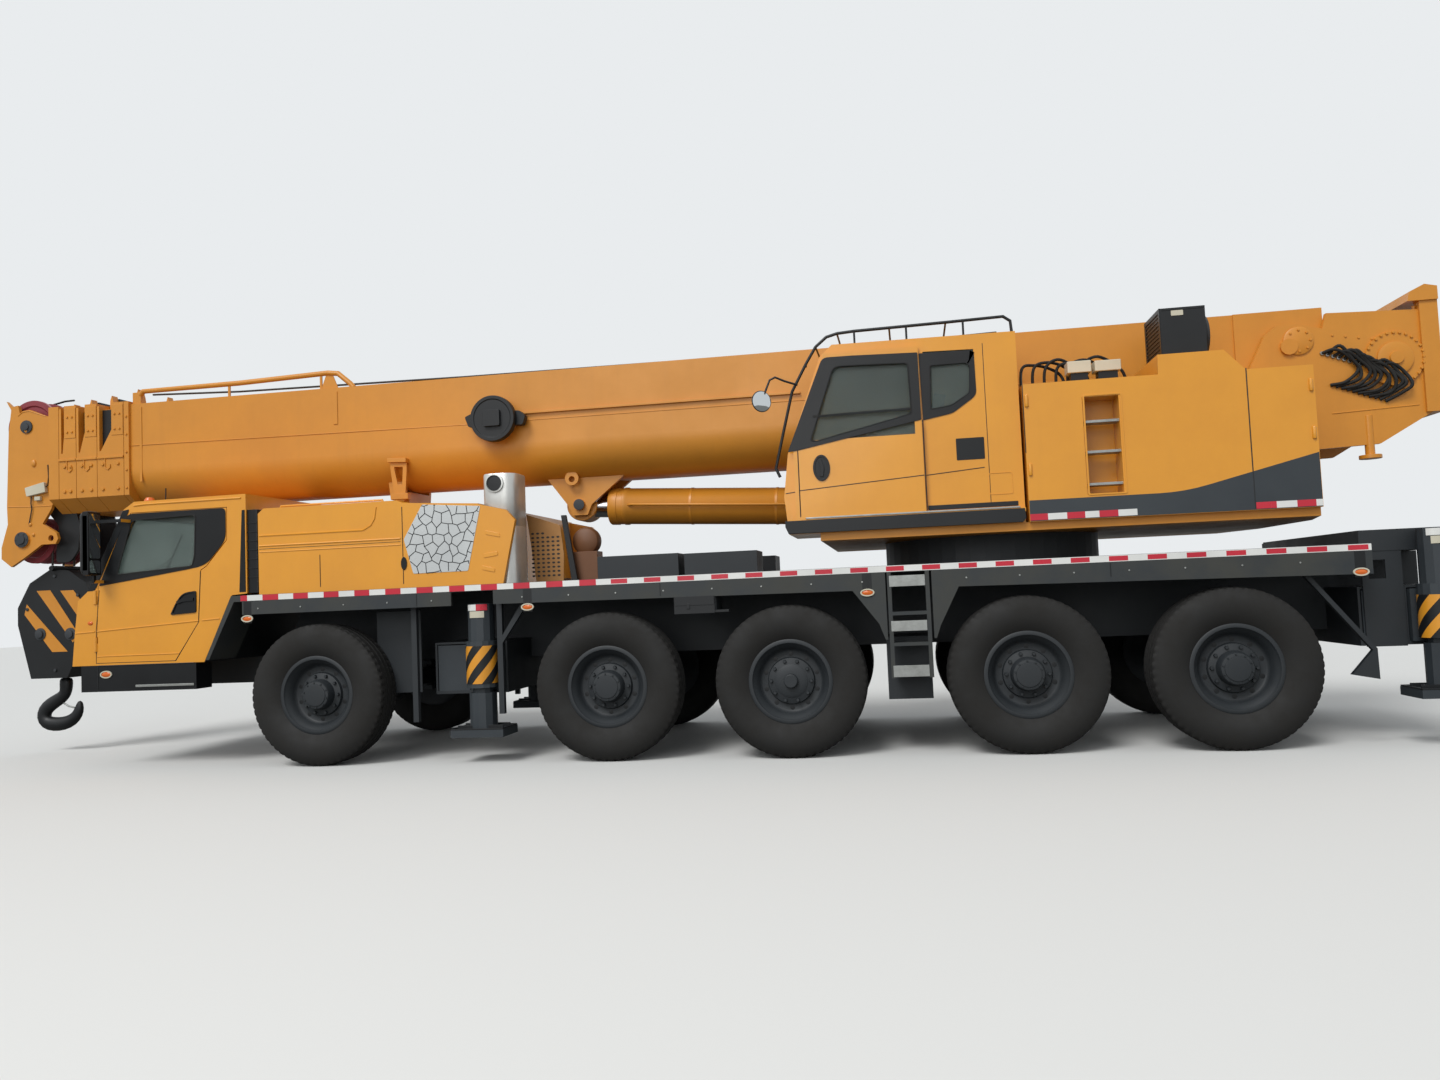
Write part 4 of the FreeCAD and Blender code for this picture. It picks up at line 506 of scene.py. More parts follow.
# Driver's cab: black window surrounds, seams and ribs of the doors, handles, lamps, mirrors, screen and wipers
for side, word in SIDES:
    door = "cab_door_" + word
    face = side * CAB
    outer = rounded([(-5.425, 1.841), (-5.095, 2.560), (-3.998, 2.562), (-4.000, 2.244), (-4.215, 2.006), (-4.395,
            1.972)],
        [0.02, 0.06, 0.05, 0.08, 0.09, 0.05])
    inner = rounded([(-5.212, 1.955), (-5.040, 2.488), (-4.335, 2.506), (-4.345, 2.25), (-4.352, 2.10), (-4.380,
            2.004)],
        [0.03, 0.05, 0.04, 0.02, 0.02, 0.03])
    piece("window_surround_" + word, door, black_abs, [band("XZ", outer, inner, *proud(face, 0.006))], bevel=0.002)
    # Rubber round the glass and the pull pocket with its grip
    ring = rounded([(-5.226, 1.944), (-5.050, 2.500), (-4.322, 2.519), (-4.332, 2.25), (-4.339, 2.095), (-4.372,
            1.990)],
        [0.03, 0.05, 0.04, 0.02, 0.02, 0.03])
    piece("glass_rubber_" + word, door, tyre_rubber, [band("XZ", ring, inner, *proud(face, 0.010))], bevel=0.002)
    pocket_shape = rounded([(-4.622, 1.520), (-4.552, 1.650), (-4.480, 1.735), (-4.333, 1.750), (-4.336, 1.535)],
        [0.02, 0.05, 0.06, 0.02, 0.02])
    middle = pocket_shape.mean(0)
    piece("pull_pocket_" + word, door, black_abs, [
        band("XZ", pocket_shape, middle + (pocket_shape - middle) * 0.86, *proud(face, 0.012)),
        slab("XZ", middle + (pocket_shape - middle) * 0.9, *proud(face, 0.002)),
        strip([(-4.545, 1.640), (-4.480, 1.660), (-4.362, 1.668)], 0.03, *proud(face, 0.016))], bevel=0.002)
    seam = [(-5.405, 1.795), (-5.425, 1.80), (-5.464, 1.40), (-5.467, 1.063), (-4.577, 1.063), (-4.317, 1.435),
        (-4.287, 1.945)]
    y = side * 1.388
    piece("door_seal_" + word, "carrier", tyre_rubber, [tube([(x, y, z) for x, z in seam[1:]], 0.0045, 8)])
    piece("door_ribs_" + word, door, cab_enamel, [
        tube([(-5.455, face, 1.384), (-4.315, face, 1.451)], 0.007, 8),
        tube([(-5.455, face, 1.131), (-4.535, face, 1.135)], 0.006, 8)])
    piece("cab_ribs_" + word, "carrier", cab_enamel, [
        tube([(-5.700, face, 1.372), (-5.480, face, 1.383)], 0.007, 8),
        tube([(-4.275, face, 1.453), (-4.085, face, 1.464)], 0.007, 8)])
    # Pillar beside the screen, black like the surrounds
    piece("front_pillar_" + word, "carrier", black_abs, [slab("XZ", rounded([
            (-5.556, 1.795), (-5.144, 2.596), (-5.075, 2.606), (-5.078, 2.582), (-5.452, 1.836), (-5.478, 1.798)],
            0.008), *proud(face, 0.005))], bevel=0.002)
    piece("roof_gutter_" + word, "carrier", cab_enamel, [
        tube([(-5.02, face, 2.640), (-4.9, face, 2.648), (-3.83, face, 2.652)], 0.010, 8)])
    # Lamps: side repeater, corner lamp on the bumper, headlamp at the nose
    piece("side_lamp_" + word, "carrier", amber_acrylic, [lens("XZ", -5.530, 1.470, 0.030, 0.020, face, side * 1.402)])
    piece("bumper_lamp_rim_" + word, "carrier", pale_coating,
        [band("XZ", ellipse(-5.353, 0.948, 0.066, 0.038), ellipse(-5.353, 0.948, 0.054, 0.027), *proud(face, 0.010))])
    piece("bumper_lamp_" + word, "carrier", amber_acrylic,
        [lens("XZ", -5.353, 0.948, 0.055, 0.028, face, side * 1.404)])
    nose_u, nose_v = (0, 1, 0), (0.03, 0, 0.33)
    lamp_face = [(side * 1.33, 0.10), (side * 1.36, 0.27), (side * 0.98, 0.30), (side * 0.86, 0.24), (side * 0.84,
        0.12)]
    glass = laid(slab("XY", rounded(lamp_face, 0.03), -0.012, 0.002), (-5.738, 0, 1.06), nose_u, nose_v)
    piece("headlamp_frame_" + word, "carrier", black_abs, [glass], bevel=0.004)
    for k, (yy, r) in enumerate(((1.24, 0.075), (1.06, 0.07), (0.93, 0.045))):
        spot = (-5.7285, side * yy, 1.252)
        piece("headlamp_%d_%s" % (k, word), "carrier", mirror_glass,
            [turned([(r, 0.0), (r, 0.010), (r * 0.86, 0.014), (r * 0.5, 0.018), (0.0005, 0.020)], spot, (-1, 0,
                0.09), 32)])
    # Mirror: rounded shell over its plate, with a silvered glass towards the rear and a small wide-angle glass
    head = rounded([(side * 1.470, 1.945), (side * 1.470, 2.590), (side * 1.640, 2.590), (side * 1.640, 1.945)], 0.05,
        6)
    centre = head.mean(0)
    grow = np.array([0.80, 0.95, 1.0, 1.0, 0.97])
    depth = np.array([-5.440, -5.428, -5.400, -5.345, -5.332])
    shell = np.stack([np.column_stack([np.full(len(head), x), centre[0] + (head[:, 0] - centre[0]) * g,
            centre[1] + (head[:, 1] - centre[1]) * g]) for g, x in zip(grow, depth)])
    piece("mirror_shell_" + word, door, black_abs, [skin(shell)], smooth=50)
    for label, z0, z1 in (("main", 2.115, 2.560), ("wide", 1.970, 2.095)):
        rect = rounded([(side * 1.487, z0), (side * 1.487, z1), (side * 1.623, z1), (side * 1.623, z0)], 0.025)
        piece("mirror_%s_%s" % (label, word), door, mirror_glass, [slab("YZ", rect, -5.336, -5.3285)])
    tail = rounded([(-3.862, 1.716), (-3.822, 2.528), (-3.790, 2.532), (-3.792, 1.716)], 0.006)
    piece("snorkel_strip_" + word, "carrier", black_abs, [slab("XZ", tail, *proud(face, 0.004))], bevel=0.001)
    piece("intake_duct_" + word, "carrier", black_abs, [
        slab("XY", rounded(oblong(-3.788, -3.665, side * 1.372, side * 1.20), 0.02),
            1.702, 2.53)] + [brick(-3.786, -3.667, *sorted(proud(side * 1.371, 0.005)), z, z + 0.012)
        for z in np.arange(1.85, 2.4, 0.09)], bevel=0.003)
    piece("outrigger_plate_" + word, "carrier", shaded_frame_enamel, [
        brick(-2.54, -2.075, *sorted(proud(side * 1.135, 0.015)), 0.66, 1.46)], bevel=0.003)
piece("cab_liner", "carrier", black_enamel, [strip([(-3.9415, 1.688), (-4.2565, 1.042)], 0.008, -1.386, 1.386)])
# Screen surround laid on the slanted front, wipers, roof beacon and aerial
front_u, front_v = (0, 1, 0), (0.42, 0, 0.815)
piece("screen_surround", "carrier", black_abs, [laid(band("XY", rounded(oblong(-1.382, 1.382, 0.010, 0.905), 0.06, 6),
        rounded(oblong(-1.225, 1.225, 0.075, 0.825), 0.06, 6),
        -0.010, 0.001), (-5.560, 0, 1.79), front_u, front_v)],
    bevel=0.003)
BEACON = [(0.055, 0), (0.055, 0.012), (0.050, 0.05), (0.035, 0.072), (0.0005, 0.078)]
arms = []
for y0 in (-0.75, 0.25):
    base = np.array((-5.563, y0, 1.80))
    lean = np.array((0.42, 0, 0.815)) / 0.917
    out = np.array((-0.889, 0, 0.458)) * 0.03
    arms += [tube([base, base + out, base + out + lean * 0.42 + (0, 0.45, 0)], 0.008, 8),
        tube([base + out * 0.8 + lean * 0.14 + (0, 0.42, 0), base + out * 0.8 + lean * 0.68 + (0, 0.42, 0)],
        0.010, 8)]
piece("wipers", "carrier", black_abs, arms)
piece("front_band", "carrier", black_abs, [slab("YZ", rounded(oblong(-1.30, 1.30, 1.44, 1.62),
        0.03), -5.722, -5.690)], bevel=0.004)
piece("number_plate", "carrier", pale_coating, [slab("YZ", rounded(oblong(-0.26, 0.26, 0.80, 0.94), 0.012), -5.688,
        -5.682)])
piece("roof_beacons", "carrier", amber_acrylic, [
    turned(BEACON, (-5.085, y, 2.680), (0, 0, 1), 32)
    for y in (-1.08, 1.08)])
piece("aerial", "carrier", black_abs, [tube([(-4.90, -1.08, 2.685), (-4.895, -1.08, 2.84)], 0.006, 8),
    turned([(0.018, 0), (0.014, 0.02)], (-4.90, -1.08, 2.685), (0, 0, 1), 16)])
# Aprons under the cab: step edges with bright nosing, lower steps cut in, dark seam
for side, word in SIDES:
    y = side * CAB
    piece("step_nosing_" + word, "carrier", plated_steel, [
        brick(-5.021, -4.372, *sorted(proud(y, 0.0088)), 0.812, 0.836)], bevel=0.003)
    piece("apron_seam_" + word, "carrier", black_enamel, [
        tube([(-5.44, y, 1.036), (-4.37, y, 1.036)], 0.006, 6), tube([(-5.449, y, 0.80), (-5.449, y, 1.03)], 0.005, 6)])

# Deck edge: reflective tape, first in blocks, then white with red rectangles; marker lamps on brackets under it
BLOCKS = [-3.785, -3.713, -3.549, -3.380, -3.223, -3.067, -2.903, -2.746, -2.584, -2.429, -2.266, -2.109, -1.948,
    -1.782,
    -1.618, -1.464, -1.302, -1.142, -0.982, -0.822, -0.662, -0.502, -0.342, -0.182]
for side, word in SIDES:
    face = side * DECK
    piece("deck_tape_white_" + word, "carrier", tape_white, [
        slab("XZ", oblong(a, b, 1.624, 1.678), *proud(face, 0.0012)) for a, b in zip(BLOCKS[1::2], BLOCKS[2::2])]
        + [slab("XZ", oblong(-0.182, 6.398, 1.624, 1.678), *proud(face, 0.0012))])
    piece("deck_tape_red_" + word, "carrier", tape_red, [
        slab("XZ", oblong(a, b, 1.624, 1.678), *proud(face, 0.0012)) for a, b in zip(BLOCKS[0::2], BLOCKS[1::2])]
        + [slab("XZ", oblong(x, x + 0.155, 1.630, 1.672), *proud(face, 0.0018)) for x in np.arange(-0.040, 6.3, 0.313)])
    lamps = (-3.712, -0.848, 2.292, 6.305)
    piece("marker_brackets_" + word, "carrier", black_enamel, [
        brick(x - 0.045, x + 0.045, *sorted(proud(face, -0.02)), 1.405, 1.62) for x in lamps], bevel=0.003)
    piece("marker_rims_" + word, "carrier", pale_coating, [
        band("XZ", ellipse(x, 1.450, 0.062, 0.034), ellipse(x, 1.450, 0.050, 0.023), *proud(face,
            0.012)) for x in lamps])
    piece("marker_lamps_" + word, "carrier", amber_acrylic, [
        lens("XZ", x, 1.450, 0.051, 0.024, *proud(face, 0.012)) for x in lamps])
    # Bolt heads along the deck's edge strip and joints between its lengths
    piece("deck_bolts_" + word, "carrier", plated_steel, [
        studs([(x, side * DECK, 1.545) for x in np.arange(-3.6, 6.3, 0.45) if not -1.7 < x < -1.1], (0, side, 0),
            0.008, 0.004)])
    piece("deck_joints_" + word, "carrier", black_enamel, [
        brick(x - 0.004, x + 0.004, *sorted(proud(face, 0.002)), 1.50, 1.618) for x in (-1.95, 0.42, 2.30, 4.35)])
    # Ladder treads of plated checker plate
    piece("ladder_treads_" + word, "carrier", plated_steel, [
        slab("XZ", oblong(2.485, 2.795, z0, z1), *proud(face, 0.003)) for z0, z1 in ((1.492, 1.588), (1.10, 1.19),
            (0.70, 0.80))],
        bevel=0.002)
# Hanging box under the deck with its lid and latch tab
piece("hanging_box", "carrier", black_enamel, [
    brick(0.544, 0.92, -1.489, -1.20, 1.325, 1.489), brick(0.55, 0.914, -1.493, -1.489, 1.40, 1.484),
    brick(0.92, 1.047, -1.480, -1.40, 1.330, 1.352), brick(0.66, 0.69, -1.497, -1.489, 1.37, 1.42)], bevel=0.006)


def wrap(cx, cy, r, z0, z1, a0, a1, lean=0.0, thick=0.0015):
    """A thin sheet on a cylinder between two angles, sheared so that its edges climb slantwise."""
    z = np.linspace(z0, z1, 13)[:, None]
    ang = a0 + (a1 - a0) * np.linspace(0, 1, 9)[None] + lean * (z - z0)
    loop = [np.stack([cx + q * np.cos(k), cy + q * np.sin(k), np.broadcast_to(z, k.shape)], -1)
        for q, k in ((r + thick, ang), (r, ang[:, ::-1]))]
    return skin(np.concatenate(loop, 1))


# Outriggers: striped sleeve, tape and blank plate at its top, ribs of the float pad
for end, jx, low, top, pad in (("front", -1.390, 0.745, 1.497, 0.320), ("rear", 6.960, 0.885, 1.787, 0.470)):
    for side, word in SIDES:
        x, y = (jx if side < 0 else jx - 0.360), side * 1.290
        out = side * math.pi / 2
        beam, jack = "outrigger_beam_%s_%s" % (end, word), "outrigger_jack_%s_%s" % (end, word)
        piece("sleeve_cover_%s_%s" % (end, word), beam, cab_enamel, [
            turned(oblong(0.1505, 0.153, low, low + 0.355), (x, y, 0), (0, 0, 1), 48,
                closed=True)], smooth=50)
        piece("sleeve_stripes_%s_%s" % (end, word), beam, black_enamel, [
            wrap(x, y, 0.153, low, low + 0.355, k * math.pi * 0.4, (k + 0.5) * math.pi * 0.4, 5.6) for k in range(5)])
        piece("sleeve_tape_white_%s_%s" % (end, word), beam, tape_white, [
            wrap(x, y, 0.126, top - 0.062, top - 0.004, out - 0.85, out)])
        piece("sleeve_tape_red_%s_%s" % (end, word), beam, tape_red, [
            wrap(x, y, 0.126, top - 0.062, top - 0.004, out, out + 0.85)])
        piece("sleeve_plate_%s_%s" % (end, word), beam, pale_coating, [
            wrap(x, y, 0.126, top - 0.130, top - 0.068, out - 0.6, out + 0.6)])
        piece("pad_ribs_%s_%s" % (end, word), jack, black_enamel, [
            band("XY", oblong(x - 0.258, x + 0.258, y - 0.188, y + 0.188),
                oblong(x - 0.240, x + 0.240, y - 0.170, y + 0.170), pad, pad + 0.014)]
            + [brick(x - 0.225, x + 0.225, y + k - 0.008, y + k + 0.008, pad - 0.002, pad + 0.035) for k in (-0.09,
                0.09)],
            bevel=0.002)
# Boom heads: bolted cap plates, ledge, pads' bolts under it and a lashing hook on each section, both sides
HEADS = (("tele_1", -6.196, -5.866), ("tele_2", -6.460, -6.202), ("tele_3", -6.681, -6.466))
for body, x0, x1 in HEADS:
    made, bolts, dark = [], [], []
    for side in (-1, 1):
        y = side * HEAD_BLOCK
        lo, hi = sorted(proud(y, 0.006))
        made += [brick(x0, x1, *sorted(proud(y, 0.014)), 3.303, 3.327),
            brick(x1 - 0.146, x1 - 0.002, lo, hi, 3.56, 3.905)]
        bolts.append(studs([(x1 - 0.105, y + side * 0.006, 3.63), (x1 - 0.045, y + side * 0.006, 3.63),
                (x1 - 0.105, y + side * 0.006, 3.80), (x1 - 0.045, y + side * 0.006, 3.80)], (0, side, 0),
            0.014, 0.012))
        bolts.append(studs([(x0 + 0.07, y, 3.24), (x1 - 0.07, y, 3.24), (x0 + 0.07, y, 2.96), (x1 - 0.07, y, 2.96)],
            (0, side, 0), 0.020, 0.014))
        hook = [(x0 + 0.10, 3.303), (x0 + 0.10, 3.20), (x0 + 0.135, 3.175), (x0 + 0.165, 3.20), (x0 + 0.165, 3.235)]
        dark.append(tube([(x, y + side * 0.004, z) for x, z in hook], 0.006, 8))
    piece("head_plates_" + body, body, boom_enamel, made, bevel=0.003)
    piece("head_bolts_" + body, body, boom_enamel, bolts)
    piece("head_hooks_" + body, body, boom_enamel, dark, smooth=50)
    # Black sheets over the open sides above the gussets: painted shade, together with the dark of the hoses behind
    inner = 0.4602 - 0.032 * int(body[-1])
    piece("head_gap_shade_" + body, body, black_enamel, [
        brick(x0 + 0.030, x1 - 0.150, *sorted(proud(s * inner, 0.012)), 3.40, 3.86) for s in (-1, 1)])
# Base boom: its lower half is one bent plate, laid over the solid's chords
turn = np.linspace(0, math.pi / 2, 17)
belly = [(0.4625, 3.392), (0.4625, 3.165)] + [(0.06 + 0.4025 * math.cos(a), 3.16 - 0.4025 * math.sin(a)) for a in turn]
belly = np.array(belly + [(-y, z) for y, z in belly[::-1]])
inner = belly - 0.008 * np.sign(belly - (0, 3.5)) * (1, 0.2)
loop = np.concatenate([belly, inner[::-1]])
piece("boom_belly", "base_boom", boom_enamel, [skin(np.stack([np.column_stack([np.full(len(loop), x), loop]) for x in
        (-5.798, -3.0, 0.0, 3.0, 5.9)]))], smooth=50)
# Base boom: weld lines along the plate joints, straps, bolts of the front flange, lugs seated on its rounding
side_line = [(-5.79, 3.432), (-1.9, 3.394), (1.2, 3.394), (4.6, 3.394)]
for side, word in SIDES:
    y = side * BELLY
    piece("boom_welds_" + word, "base_boom", boom_enamel, [
        bead(side_line, y, 0.0055),
        strip([(-3.32, 3.5), (-3.32, 3.86)], 0.050, *sorted(proud(y, 0.006))),
        strip([(-5.67, 3.02), (-5.67, 3.86)], 0.030, *sorted(proud(y, 0.005))),
        strip([(-1.22, 3.47), (1.70, 3.47)], 0.022, *sorted(proud(y, 0.030)))], bevel=0.002)
    piece("flange_bolts_" + word, "base_boom", boom_enamel, [
        studs([(-5.83, side * HEAD_BLOCK, z) for z in (2.96, 3.16, 3.36, 3.56, 3.76)], (0, side, 0), 0.013, 0.012)])
    piece("boom_lashing_" + word, "base_boom", boom_enamel, [
        band("XZ", ellipse(-0.753, 2.775, 0.075, 0.075, 24), ellipse(-0.753, 2.765, 0.032, 0.032, 24),
            *sorted(proud(side * 0.27, 0.03))),
        slab("XZ", rounded([(-2.80, 2.86), (-2.78, 2.66), (-2.62, 2.64), (-2.60, 2.86)], 0.02),
            *sorted(proud(side * 0.27, 0.05)))], bevel=0.003)
# Cable reel with its coil; guard tube on top, rollers between the heads' brackets, jib bracket, hoist rope
piece("cable_reel_face", "base_boom", black_enamel, [
    turned([(0.0005, 0.030), (0.075, 0.030), (0.080, 0.014), (0.195, 0.014), (0.202, 0.022), (0.236, 0.022), (0.2395,
        0.0),
        (0.2395, -0.062), (0.15, -0.062)], (-1.471, -0.640, 3.405), (0, -1, 0), 56),
    slab("XZ", rounded([(-1.80, 3.45), (-1.68, 3.50), (-1.20, 3.48), (-1.14, 3.42), (-1.17, 3.33), (-1.76, 3.34)],
        0.02),
        -0.585, -0.50),
    slab("XZ", rounded(oblong(-1.56, -1.38, 3.32, 3.49), 0.02), -0.69, -0.65)], bevel=0.003)
piece("reel_cable", "base_boom", wire_rope, [
    turned([(0.200, k * 0.012 - 0.036), (0.206, k * 0.012 - 0.030), (0.200, k * 0.012 - 0.024)], (-1.471, -0.60, 3.405),
        (0, -1, 0), 48, closed=True) for k in range(6)], smooth=60)
piece("cable_guard", "base_boom", boom_enamel, [
    tube([(-5.70, -0.425, 4.00), (-5.66, -0.425, 4.040), (-4.47, -0.425, 4.045), (-3.42, -0.425, 4.075), (-3.30,
        -0.425, 4.06),
        (-3.16, -0.425, 3.94), (-3.12, -0.425, 3.895)], 0.029, 12),
    slab("XZ", [(-3.50, 3.90), (-3.44, 4.05), (-3.36, 4.05), (-3.30, 3.90)], -0.431, -0.419),
    brick(-5.78, -5.68, -0.445, -0.40, 3.895, 4.03)]
    + [brick(x - 0.012, x + 0.012, -0.435, -0.415, 3.895, z) for x, z in ((-4.6, 4.04), (-3.5, 4.07))],
    bevel=0.002)
for body, x, z in (("tele_1", -6.166, 4.000), ("tele_2", -6.430, 3.980), ("tele_3", -6.651, 3.940)):
    piece("rope_roller_" + body, body, black_enamel, [
        turned([(0.030, -0.199), (0.036, -0.185), (0.036, 0.185), (0.030, 0.199)], (x, 0, z), (0, 1, 0), 24)])
piece("jib_bracket", "base_boom", boom_enamel, [
    slab("XZ", [(-2.705, 3.084), (-2.494, 3.074), (-2.494, 3.030), (-2.705, 3.040)], -0.530, -0.40),
    band("XZ", [(-2.685, 3.040), (-2.500, 3.030), (-2.500, 2.960), (-2.520, 2.70), (-2.650, 2.70), (-2.685, 2.970)],
        [(-2.640, 2.990), (-2.545, 2.985), (-2.545, 2.955), (-2.555, 2.80), (-2.605, 2.80), (-2.640, 2.965)], -0.500,
        -0.484),
    slab("XZ", [(-2.685, 3.040), (-2.640, 3.040), (-2.630, 2.86), (-2.645, 2.86)], -0.484, -0.37),
    brick(-2.675, -2.480, -0.530, -0.455, 2.640, 2.702)], bevel=0.003)
piece("hoist_rope", "base_boom", wire_rope, [
    tube([(-5.80, -0.09, 4.075), (-4.7, -0.09, 4.03), (-2.0, -0.09, 3.99), (2.0, -0.09, 3.965), (5.6, -0.09, 3.95),
        (6.86, -0.09, 3.60)], 0.011, 10)], smooth=60)
piece("hoist_rope_head", "tele_4", wire_rope, [
    tube([(-7.10, -0.10, 4.050), (-6.95, -0.095, 4.080), (-6.83, -0.09, 4.085)], 0.011, 10)], smooth=60)
# Boom head: grooved sheaves on their axles, rope falls, hose guard, bumps and pins, a junction box with cables
for label, r, cx, cz, places in (("upper", 0.320, -7.149, 3.740, (-0.350, -0.125, 0.075, 0.300)),
        ("lower", 0.265, -7.210, 2.450, (-0.265, -0.105, 0.055, 0.215))):
    for k, y in enumerate(places):
        piece("sheave_%s_%d" % (label, k), "tele_4", red_polyamide, [turned([
                (0.05, 0.004), (0.05, 0.046), (0.09, 0.048), (0.10, 0.036), (r - 0.075, 0.036), (r - 0.06, 0.050),
                (r - 0.004, 0.050), (r, 0.044), (r - 0.030, 0.025), (r, 0.006), (r - 0.004, 0.0), (r - 0.06, 0.0),
                (r - 0.075, 0.014), (0.10, 0.014), (0.09, 0.002)], (cx, y, cz), (0, 1, 0), 64, closed=True)], smooth=40,
            stands_for=["head_sheaves"] if (label, k) == ("upper", 0) else ())
piece("sheave_axles", "tele_4", cast_iron, [
    turned([(0.05, -0.389), (0.05, 0.389)], (cx, 0, cz), (0, 1, 0), 32) for cx, cz in ((-7.149, 3.740), (-7.210,
        2.450))])
piece("rope_falls", "tele_4", wire_rope, [
    tube([(-7.000, y, 2.45), (-7.000, y, 2.30), (-7.000, y, 2.152)], 0.012, 10) for y in (-0.24, -0.08, 0.08, 0.24)],
    smooth=60)
guard = rounded([(-7.038, 2.80), (-6.86, 2.90), (-6.654, 2.808), (-6.589, 2.585), (-6.615, 2.30), (-6.72, 2.175),
    (-6.90, 2.175), (-6.90, 2.30), (-6.86, 2.60)], 0.05)
piece("rope_guard", "tele_4", black_enamel, [slab("XZ", guard, -0.30, -0.27), slab("XZ", guard, 0.27, 0.30),
    slab("XZ", [(-6.90, 2.88), (-6.66, 2.80), (-6.63, 2.70), (-6.67, 2.69),
        (-6.70, 2.76), (-6.91, 2.84)], -0.28, 0.28)], bevel=0.004)
for side, word in SIDES:
    y = side * HEAD
    piece("head_details_" + word, "tele_4", boom_enamel, [
        lens("XZ", -7.15, 3.705, 0.032, 0.045, y, y + side * 0.022), lens("XZ", -7.06, 3.315, 0.032, 0.045, y,
            y + side * 0.022),
        lens("XZ", -7.112, 2.62, 0.024, 0.024, y, y + side * 0.016), lens("XZ", -7.07, 2.50, 0.020, 0.020, y,
            y + side * 0.016),
        tube([(-7.40, y, 2.836), (-7.115, y, 2.822), (-6.84, y, 2.820)], 0.006, 6),
        tube([(-7.261, y, 3.875), (-7.204, y, 3.915), (-7.114, y, 3.922), (-6.90, y, 3.845)], 0.006, 6)])
    piece("head_pins_" + word, "tele_4", cast_iron, [
        turned([(0.088, 0.012), (0.088, 0.024), (0.055, 0.028), (0.050, 0.040), (0.0005, 0.042)], (-7.210, y, 2.450),
            (0, side, 0), 40),
        turned([(0.075, 0.0), (0.075, 0.014), (0.045, 0.018), (0.040, 0.030), (0.0005, 0.032)], (-7.149, y, 3.740),
            (0, side, 0), 40),
        studs(around(-7.210, y + side * 0.024, 2.450, 0.070, np.arange(6) * 1.047),
            (0, side, 0), 0.009, 0.008)], smooth=40)
piece("junction_box", "tele_4", pale_coating, [
    slab("XZ", rounded([(-7.145, 3.035), (-6.898, 3.090), (-6.877, 2.974), (-7.123, 2.934)], 0.012), -0.475, -HEAD),
    brick(-7.03, -6.956, -0.465, -HEAD, 2.885, 2.93)], bevel=0.005)
piece("junction_cables", "tele_4", wire_rope, [
    tube([(-6.90, -0.452, 3.03), (-6.86, -0.455, 3.05), (-6.835, -0.47, 3.15), (-6.83, -0.485, 3.28)], 0.007, 8),
    tube([(-7.08, -0.45, 2.935), (-7.085, -0.45, 2.86), (-7.079, -0.445, 2.79), (-7.12, -0.44, 2.62)], 0.006, 8)],
    smooth=60)


def cells(shape, size=0.062):
    """Borders of irregular cells inside an outline: a honeycomb whose corners are moved a little, cut at the edge."""
    centre, shift = shape.mean(0), np.random.default_rng(7)
    rows = []
    corners = {}
    for i in range(-7, 8):
        for j in range(-7, 8):
            mid = centre + size * np.array([math.sqrt(3) * (i + j / 2), 1.5 * j])
            ring = [tuple(np.round(mid + size * np.array([math.sin(k * math.pi / 3), math.cos(k * math.pi / 3)]), 3))
                for k in range(6)]
            for a, b in zip(ring, ring[1:] + ring[:1]):
                for q in (a, b):
                    if q not in corners:
                        corners[q] = np.array(q) + shift.uniform(-0.42, 0.42, 2) * size
                rows.append((min(a, b), max(a, b)))
    edges = np.roll(shape, -1, 0) - shape
    inside = lambda q: (edges[:, 0] * (q - shape)[:, 1] - edges[:, 1] * (q - shape)[:, 0] < 0).all()
    made = []
    for a, b in sorted(set(rows)):
        line = [corners[a] + (corners[b] - corners[a]) * k for k in np.linspace(0, 1, 9)]
        kept = [q for q in line if inside(q)]
        if len(kept) > 1:
            made.append([kept[0], kept[-1]])
    return made


